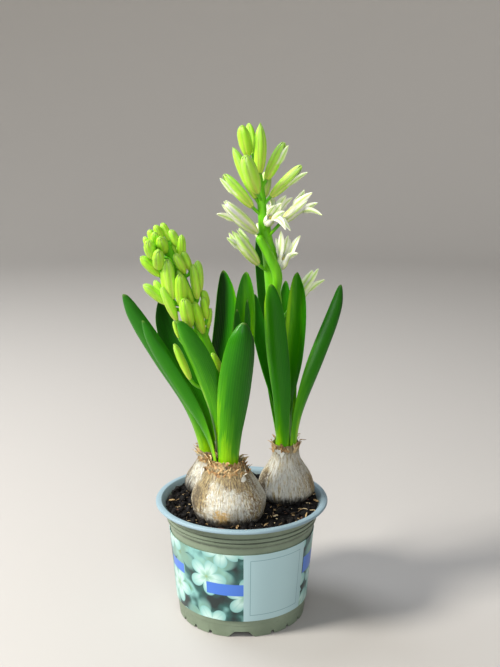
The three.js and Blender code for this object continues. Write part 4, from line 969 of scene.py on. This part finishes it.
# Flower spikes
spikeSettings = {
    "frontStem": [
        [-9.6, -18, 110.3, 4.2], [-10.8, -19, 139, 4.4], [-12.8, -20, 160, 4.4], [-15.9, -22, 180, 4.2],
        [-22.9, -24, 199, 4], [-32.6, -28, 229.5, 3.6], [-40, -31.2, 250, 3], [-46.2, -34.3, 266, 2.2]],
    "rightStem": [
        [31, 15, 112.3, 4], [28.9, 15, 149.5, 4.6], [24.5, 15, 193, 5], [22.2, 15, 221, 5.2],
        [19.3, 14, 251, 5], [16.6, 14, 262.5, 4.6], [14.5, 13.5, 282, 3.6], [13, 13, 294, 2.9],
        [11, 12.5, 309, 2.2], [8, 12, 319, 1.4]],
    "branch": [[23.5, 12, 226, 3], [24, 8.5, 240, 3.5], [18.5, 7, 253, 3.4], [12.5, 6.5, 264, 2.9]],
    "frontBuds": [  # height on the stem, base, tip, width
        [240, [-51.5, -32.5, 246.5], [-62.5, -37, 259], 6.4],
        [221, [-48, -30, 228], [-61.5, -35, 241], 6],
        [224, [-49, -26, 229], [-55.5, -23, 241.5], 5],
        [208, [-41.5, -30.5, 217.5], [-49.5, -38.5, 240], 6],
        [226, [-43.5, -33.5, 232], [-45.5, -44, 258.5], 7.8],
        [227, [-46.5, -30.5, 232], [-49, -35.5, 255.5], 5.6],
        [247, [-51.5, -37.5, 252], [-50, -53, 265], 7.4],
        [253, [-54, -39, 258.5], [-56.5, -50.5, 270.5], 7.4],
        [258, [-47.5, -38.5, 262.5], [-49, -50.5, 272.5], 7],
        [263, [-53.5, -37.5, 267.5], [-53, -42.5, 275], 4.8],
        [264, [-55, -34.5, 268], [-56.5, -36.5, 276], 4],
        [258, [-57, -34, 263], [-60.5, -32.5, 271], 3.6],
        [264, [-49.5, -34.5, 269.5], [-53.5, -34.5, 278.5], 4.8],
        [263, [-44.5, -32.5, 269], [-49.5, -31.5, 279.5], 4.6],
        [257, [-39, -32, 264.5], [-44, -34.5, 275.5], 5.4],
        [250, [-41, -31, 255.5], [-46.5, -29.5, 270.5], 5.6],
        [248, [-37.5, -32.5, 255], [-37, -34.5, 272.5], 5.4],
        [244, [-32, -32, 250], [-36, -36.5, 262], 5],
        [243, [-35.5, -36, 249], [-40.5, -44.5, 262], 5.6],
        [226, [-27.5, -31.5, 231.5], [-30, -36, 254], 5.6],
        [228, [-26.5, -26, 235], [-27.5, -27, 255], 6.2],
        [221, [-37.5, -33.5, 227.5], [-37.5, -45, 249.5], 7.8],
        [222, [-31, -29.5, 228], [-39.5, -37.5, 250.5], 5],
        [206, [-32.5, -32, 213.5], [-35.5, -43.5, 233.5], 8.4],
        [203, [-24.5, -29, 208.5], [-29.5, -36, 230], 6.2],
        [211, [-22, -27.5, 217.5], [-24, -30.5, 232], 5],
        [218, [-22, -24.5, 224.5], [-24.5, -25, 235.5], 5],
        [202, [-21.5, -25.5, 210], [-19.5, -26.5, 224], 3],
        [196, [-40, -25, 204], [-43.5, -26, 215.5], 3.4],
        [214, [-36, -19, 222], [-42, -11, 240], 6],
        [232, [-44, -23, 240], [-51, -15, 256], 6],
        [242, [-40, -25, 249], [-41, -17, 265], 5.8],
        [252, [-47, -29, 259], [-53, -22, 269], 5.2],
        [168, [-33.5, -25.5, 176.5], [-43, -31.5, 201.5], 4.8],
        [175, [-13, -25, 181.5], [-19, -27.5, 194.5], 4.4]],
    "rightFlorets": [  # height on the stem, base, tip of the tube, width, share of the width left at the
        # tip, where along the tube the free petals part from it, ripeness, and the free petals' tips
        [312, [4.5, 8, 319], [0.5, 3, 338.5], 8.2, 0.3, 1, 0.05, []],
        [313, [8.5, 14, 319], [5, 18, 339.5], 6.2, 0.3, 1, 0.05, []],
        [302, [12, 8, 308], [12.5, 6, 340], 8.4, 0.1, 1, 0.1, []],
        [284, [9.5, 12, 291], [-5.5, 14, 324], 7.2, 0.2, 1, 0.15, []],
        [289, [10.5, 5, 295.5], [2.5, -9, 320], 9.8, 0.35, 1, 0.15, []],
        [296, [17, 13, 303.5], [28.5, 13, 327], 7.8, 0.5, 0.45, 0.18, [[31, 10, 325.5]]],
        [284, [20, 10, 292.5], [39.5, 5, 312.5], 7, 0.5, 0.45, 0.25, [[43.5, 3, 308.5]]],
        [278, [7, 10, 285.5], [-11.5, 7, 306.5], 7.6, 0.5, 0.45, 0.18, [[-14, 5, 304.5]]],
        [261, [10, 9, 268.5], [-11.5, 2, 288.5], 8.6, 0.6, 0.5, 0.9, [[-16, 0, 281.5]]],
        [241, [11, 8, 247.5], [-5.5, 3, 269.5], 8.4, 0.7, 0.5, 0.5,
         [[-8, 1, 269], [-9.5, 0, 266], [-1.5, 6, 271.5]]],
        [262, [27.5, 6, 276], [43.5, 2, 291], 7, 0.65, 0.5, 0.85,
         [[46.5, 0, 295.5], [41.5, 3, 297], [50, -1, 289], [53, -2, 281]]],
        [266, [16.5, 8, 273.5], [20.5, 5, 279.5], 6.4, 0.8, 0.8, 0.95,
         [[22, 3, 287], [26.5, 1, 288.5], [28.5, -2, 283.5], [29, -7, 272], [32.5, -1, 270.5],
          [17, 12, 287]]],
        [270, [20, 17, 277.5], [23.5, 20, 283], 6.4, 0.8, 0.8, 1.0,
         [[29, 26, 290.5], [34.5, 24, 290], [21, 28, 286], [31, 31, 283], [18, 26, 291], [30, 18, 292]]],
        [234, [26.5, 12, 243.5], [29, 11, 253], 7.4, 0.8, 0.7, 0.95,
         [[26.5, 8, 269.5], [23, 12, 264], [31.5, 14, 265.5], [39.5, 10, 266], [38, 6, 254.5],
          [33, 20, 262]]],
        [204, [34, 23.5, 214], [49.5, 25, 236], 7.6, 0.6, 0.55, 0.75,
         [[49, 22, 240.5], [53, 25, 241], [57.5, 24, 233.5]]],
        [250, [17, 22, 257], [11, 35, 270], 8, 0.6, 0.6, 0.8, [[6.5, 38, 269], [12, 40, 267]]],
        [284, [15, 20, 291], [17.5, 32, 307], 7.6, 0.4, 1, 0.4, []]],
    "rows": 18, "columns": 7, "petalHalf": 2.7,
    "mottle": 3.33, "stemStreak": 3.85,  # pattern sizes; a stem's real streaks are too fine to show
    "outerReach": 62, "innerReach": 52,  # half of the turn round the tube that a petal covers, in degrees
    "freeCup": 24.0, "facing": 0.6,  # half of a free petal's arc, and how far it turns to the front
    "thick": [0.8, 0.6], "freeThick": 0.25,  # of a petal at its foot and tip, and what a free one adds
    "stalk": [0.9, 1.25], "sac": [0.2, 0.36, 0.36, 0.2], "sacLength": 2.0,  # radii along each, and length
    "budEnd": 0.34, "budRipe": 0.12,  # the front buds' share of the width left at the tip, top ripeness
    "budBase": "#EAEA5C", "budLow": "#D2F04A", "bud": "#B6EC32", "budTip": "#9ADE38",
    # the seam colour is painted shade in the grooves between a closed bud's petals
    "budEdge": "#D2F480", "seamShade": "#3E7A04", "budKeel": "#98DE1C",
    "petalBase": "#E6E88C", "petalLow": "#ECF0BC", "petal": "#F0F2D4", "petalTip": "#F0F3DC",
    "keel": "#B0D254", "stem": "#56A608", "stemPale": "#78C41C", "anther": "#DCD070",
}


def floretMaterial():
    # fleshy bud or petal: yellow-green while closed, cream once ripe, with a green keel along each petal and
    # painted shade along the seams where a closed bud's petals meet
    s = spikeSettings
    material, tree, shader = newMaterial("fleshy petal", {
        "IOR": 1.42, "Specular IOR Level": 0.35, "Roughness": 0.42, "Subsurface Weight": 0.5,
        "Subsurface Radius": (0.002, 0.0024, 0.0008), "Subsurface Scale": 1.0})
    along, across, ripe = (addNode(tree, "Attribute", {"attribute_name": name}, "Fac")
                           for name in ("along", "across", "ripe"))
    place = addNode(tree, "NewGeometry", {}, "Position")
    mottle = addNode(tree, "TexNoise", {"Vector": place, "Scale": 1 / (s["mottle"] * millimetre),
                                        "Detail": 3.0}, "Fac")
    drift = addNode(tree, "Math", {"operation": "MULTIPLY_ADD", 0: mottle, 1: 0.3, 2: along})
    closed, opened = (addNode(tree, "ValToRGB", {0: drift, "stops": [
        (0.15, s[kind + "Base"]), (0.35, s[kind + "Low"]), (0.7, s[kind]), (1.0, s[kind + "Tip"])]})
        for kind in ("bud", "petal"))
    colour = addNode(tree, "Mix", {"data_type": "RGBA", 0: ripe, 6: closed, 7: opened}, 2)
    off = addNode(tree, "Math", {"operation": "ABSOLUTE", 0: across})
    keelHalf = addNode(tree, "MapRange", {0: ripe, 3: 0.75, 4: 0.4})
    keel, paler, seamShade = (
        addNode(tree, "MapRange", {"interpolation_type": "SMOOTHSTEP", 0: off, 1: start, 2: end, 4: most})
        for start, end, most in ((keelHalf, 0.0, 0.8), (0.5, 0.85, 0.55), (0.78, 1.0, 0.85)))
    # painted shade along the seams, fading as a bud ripens
    green = addNode(tree, "MapRange", {0: ripe, 3: 1.0, 4: 0.15})
    seamShade = addNode(tree, "Math", {"operation": "MULTIPLY", 0: seamShade, 1: green})
    for cover, bud, petal in ((keel, "budKeel", "keel"), (paler, "budEdge", "petalTip"),
                              (seamShade, "seamShade", "seamShade")):
        shade = addNode(tree, "Mix", {"data_type": "RGBA", 0: ripe, 6: s[bud], 7: s[petal]}, 2)
        colour = addNode(tree, "Mix", {"data_type": "RGBA", 0: cover, 6: colour, 7: shade}, 2)
    bump = addNode(tree, "Bump", {"Distance": 0.0003, "Strength": 0.25, "Height": mottle})
    feed(tree, shader, {"Base Color": colour, "Normal": bump})
    return material


def stemMaterial():
    # flower stem: fleshy, smooth and bright green, with paler streaks along it
    s = spikeSettings
    material, tree, shader = newMaterial("fleshy stem", {
        "IOR": 1.42, "Specular IOR Level": 0.35, "Coat Weight": 0.1, "Coat Roughness": 0.15, "Roughness": 0.4,
        "Subsurface Weight": 0.15, "Subsurface Radius": (0.0012, 0.002, 0.0004), "Subsurface Scale": 1.0})
    place = addNode(tree, "NewGeometry", {}, "Position")
    place = addNode(tree, "VectorMath", {"operation": "MULTIPLY", 0: place, 1: (1.0, 1.0, 0.08)})
    streaks = addNode(tree, "TexNoise", {"Vector": place, "Scale": 1 / (s["stemStreak"] * millimetre),
                                         "Detail": 2.0}, "Fac")
    colour = addNode(tree, "ValToRGB", {0: streaks, "stops": [(0.35, s["stem"]), (0.85, s["stemPale"])]})
    feed(tree, shader, {"Base Color": colour})
    return material


def antherMaterial():
    # dry pollen sacs: pale yellow and dull
    material, _, shader = newMaterial("pollen sacs", {"IOR": 1.5, "Roughness": 0.7})
    shader.inputs["Base Color"].default_value = linear(spikeSettings["anther"])
    return material


def stemAt(stem, height):
    # the stem's middle at a height
    stem = np.array(stem, float)
    return np.array([np.interp(height, stem[:, 2], stem[:, k]) for k in (0, 1, 2)])


def stemBody(stem, sides, steps):
    # a round stem through its places, each with its radius
    shape = spline(stem, np.linspace(0, 1, steps))
    return rod(shape[:, :3], shape[:, 3], sides, paint=1, across=0.0)


def petalBody(base, forward, outward, length, width, end, inner, part, goal, ripe):
    # one petal: it hugs the closed tube, or parts from it and bends to its goal; end is the share of the
    # width left at the tube's tip, and ripe runs from 0 in a green bud to 1 in a cream flower
    s = spikeSettings
    t = 1 - (1 - np.linspace(0, 1, s["rows"])) ** 1.5
    grown = np.interp(t, [0, 0.05, 0.12, 0.2, 0.3, 0.42], [0.4, 0.56, 0.72, 0.84, 0.94, 1.0])
    shut = np.clip((0.65 - end) / 0.25, 0, 1)  # a closed bud's petals meet in a round or pointed tip
    half = np.clip((t - 0.5) / 0.5, 0, 1)
    point = np.clip(end / 0.35, 0, 1)  # 0 for a pointed tip, 1 for a round one
    closing = (1 - half ** mix(1.7, 3.0, point)) ** mix(1.0, 0.5, point)
    grown = grown * mix(1 - (1 - end) * half ** 2.2, closing, shut)
    radius = np.maximum(grown * width / 2 + mix(0.1, 0.0, t * shut) - (0.25 if inner else 0.0), 0.15)
    path = base + np.outer(t * length, forward) + np.outer(radius, outward)
    reach = s["innerReach"] if inner else s["outerReach"]
    late = np.clip((t - mix(0.55, 0.7, shut)) / mix(0.45, 0.3, shut), 0, 1)
    halves = radius * math.radians(reach) * (1 - late ** mix(1.7, 2.4, shut)) ** mix(0.95, 0.6, shut)
    cup = np.degrees(halves / radius) * mix(1.3, 1.6, shut)  # rounder than the tube, so grooves part them
    if goal is not None:
        loose = t > part
        share = ((t - part) / (1 - part))[:, None]
        start = base + forward * part * length + outward * np.interp(part, t, radius)
        bend = start + forward * 0.5 * np.linalg.norm(goal - start)
        path = np.where(loose[:, None], bow(start, bend, goal, share), path)
        share = np.clip(share[:, 0], 0, 1)
        freed = np.where(loose, smooth(share / 0.3), 0.0)
        blade = s["petalHalf"] * mix(0.8, 1.1, ripe) * np.maximum(1 - share ** 2.8, 0) ** 0.7
        halves = mix(np.where(loose, np.minimum(halves, 3.0), halves), blade, freed)
        cup = mix(cup, s["freeCup"], freed)
    tangent = unit(np.gradient(path, axis=0))
    normal = np.cross(-np.cross(forward, outward), tangent)
    if goal is not None:  # an open petal turns its face a little to the front
        front = math.copysign(1, (normal @ heading(-90))[loose].mean()) * heading(-90)
        normal = mix(unit(normal), front, s["facing"] * freed[:, None])
        ripe = np.where(loose, max(ripe, 0.7), ripe)
    thick = mix(*s["thick"], t) * (1 - 0.7 * shut * smooth((t - 0.75) / 0.25))
    thick = thick + (0.0 if goal is None else s["freeThick"])
    return strap(path, normal, np.maximum(halves, 0.2), thick, np.maximum(cup, 12), s["columns"],
                 edge=0.4, along=t, ripe=ripe)


def floretBodies(stem, height, base, tip, width, end, part, ripe, free):
    # stalk, core and six petals of one floret, with stamens in an open one
    s = spikeSettings
    base, tip = np.array(base, float), np.array(tip, float)
    forward, length = unit(tip - base), np.linalg.norm(tip - base)
    foot = stemAt(stem, height)
    steps = np.linspace(0, 1, 9)[:, None]
    knee = base - forward * 0.5 * np.linalg.norm(base - foot)
    path = bow(foot, knee, base + forward, steps)
    parts = [rod(path, mix(*s["stalk"], steps[:, 0]), 12, paint=1, across=0.0)]
    opened = part < 1 and len(free) > 1
    t = np.linspace(0, 0.3 if opened else 0.86, 12)
    core = np.interp(t, [0, 0.12, 0.42, 0.7, 0.86], [0.4, 0.7, 0.9, 0.76, 0.3 + 0.5 * end]) * width / 2
    parts.append(rod(base + np.outer(t * length, forward), core, 18, across=1.0, ripe=ripe))
    across = unit(np.cross(up, forward))
    rise = np.cross(forward, across)
    goals = {}  # each free tip takes the nearest of six places round the tube, counted from the first
    for goal in np.array(free, float).reshape(-1, 3):
        away = goal - base
        turn = math.degrees(math.atan2(away @ rise, away @ across))
        first = turn if not goals else first
        slot = min((k for k in range(6) if k not in goals),
                   key=lambda k: abs((turn - first - 60 * k + 180) % 360 - 180))
        goals[slot] = (goal, turn)
    first = first if goals else 90.0
    for k in range(6):
        goal, turn = goals.get(k, (None, first + 60 * k))
        outward = across * math.cos(math.radians(turn)) + rise * math.sin(math.radians(turn))
        parts.append(petalBody(base, forward, outward, length, width, end, k % 2 == 1, part, goal, ripe))
        if opened:
            start = base + forward * length * 0.6 + outward * 0.9
            sac = start + np.outer(np.linspace(0, s["sacLength"], 4), unit(forward + outward * 0.2))
            parts.append(rod(sac, s["sac"], 8, paint=2, across=0.0))
    return parts


def makeSpikes():
    s = spikeSettings
    materials = [floretMaterial(), stemMaterial(), antherMaterial()]
    rng = np.random.default_rng(8)
    parts = [stemBody(s["frontStem"], 28, 60)]
    for height, base, tip, width in s["frontBuds"]:
        ripe = rng.uniform(0, s["budRipe"])
        parts += floretBodies(s["frontStem"], height, base, tip, width, s["budEnd"], 1, ripe, [])
    addPiece("spike_front_buds", parts, materials, "spike_front", bend=55)
    parts = [stemBody(s["rightStem"], 32, 80), stemBody(s["branch"], 28, 24)]
    for floret in s["rightFlorets"]:
        parts += floretBodies(s["rightStem"], *floret)
    addPiece("spike_right_florets", parts, materials, "spike_right", bend=55)


# Camera, light and the ground that the pot stands on
studioSettings = {
    "eye": [5.8, -656.5, 355.1], "tilt": 13.21, "lens": 53.97, "sensor": 36,
    "aim": [0.0, 0.0, 0.15],  # in metres, the place that the lights face
    "ground": "#B2AFAA", "sky": "#E8ECF2", "skyStrength": 0.3, "sides": 96,
    "flat": 1.6, "sweep": 0.8, "wall": 3.0,  # in metres: radii of the flat floor and its sweep, wall height
    "lights": [  # name, place in metres, size in metres, watts and colour
        ["key", [-1.3, -0.5, 1.2], 0.5, 50.0, "#FFFAF3"],
        ["fill", [0.1, -1.35, 0.9], 0.9, 10.0, "#F4F7FF"],
        ["top", [-0.7, 0.45, 1.5], 0.8, 16.0, "#F0F5FF"],
    ],
}


def makeStudio():
    s = studioSettings
    scene = bpy.context.scene
    camera = bpy.data.objects.new("camera", bpy.data.cameras.new("camera"))
    camera.location = np.array(s["eye"]) * millimetre + potAxis
    camera.rotation_euler = (math.radians(90 - s["tilt"]), 0, 0)
    camera.data.lens, camera.data.sensor_width = s["lens"], s["sensor"]
    camera.data.clip_start, camera.data.clip_end = 0.01, 50
    scene.collection.objects.link(camera)
    scene.camera = camera
    for name, place, size, watts, shade in s["lights"]:
        light = bpy.data.objects.new(name, bpy.data.lights.new(name, "AREA"))
        light.data.shape, light.data.size = "DISK", size
        light.data.energy, light.data.color = watts, linear(shade)[:3]
        light.location = place
        light.rotation_euler = (Vector(s["aim"]) - light.location).to_track_quat("-Z", "Y").to_euler()
        scene.collection.objects.link(light)
    world = bpy.data.worlds.new("sky")
    world.use_nodes = True
    background = world.node_tree.nodes["Background"]
    background.inputs["Color"].default_value = linear(s["sky"])
    background.inputs["Strength"].default_value = s["skyStrength"]
    scene.world = world
    # a round floor that sweeps up into a wall on every side
    turns = circle(s["sides"])
    bend = np.linspace(0, math.pi / 2, 16)
    flat, sweep = s["flat"], s["sweep"]
    radius = np.concatenate([[0.001, 0.6, 1.2], flat + sweep * np.sin(bend), [flat + sweep]])
    height = np.concatenate([[0, 0, 0], sweep - sweep * np.cos(bend), [s["wall"]]])
    rings = hoop(radius[:, None], turns, height[:, None])
    faces = [list(range(s["sides"]))[::-1]]
    for i in range(len(radius) - 1):
        for j in range(s["sides"]):
            low, high, k = i * s["sides"], (i + 1) * s["sides"], (j + 1) % s["sides"]
            faces.append([low + j, low + k, high + k, high + j])
    mesh = bpy.data.meshes.new("floor")
    mesh.from_pydata(rings.reshape(-1, 3).tolist(), [], faces)
    mesh.shade_smooth()
    # matt card: even and dull, so that it takes soft shadows and no glints
    material, _, shader = newMaterial("matt card", {"Roughness": 0.85})
    shader.inputs["Base Color"].default_value = linear(s["ground"])
    mesh.materials.append(material)
    floor = bpy.data.objects.new("floor", mesh)
    scene.collection.objects.link(floor)
    scene.view_settings.view_transform = "Standard"
    print(f"studio: camera, floor and {len(s['lights'])} lights")


makePot()
makeSleeve()
leafPoints = makeLeaves()
makeBulbs(leafPoints)
makeSoil()
makeSpikes()
makeStudio()
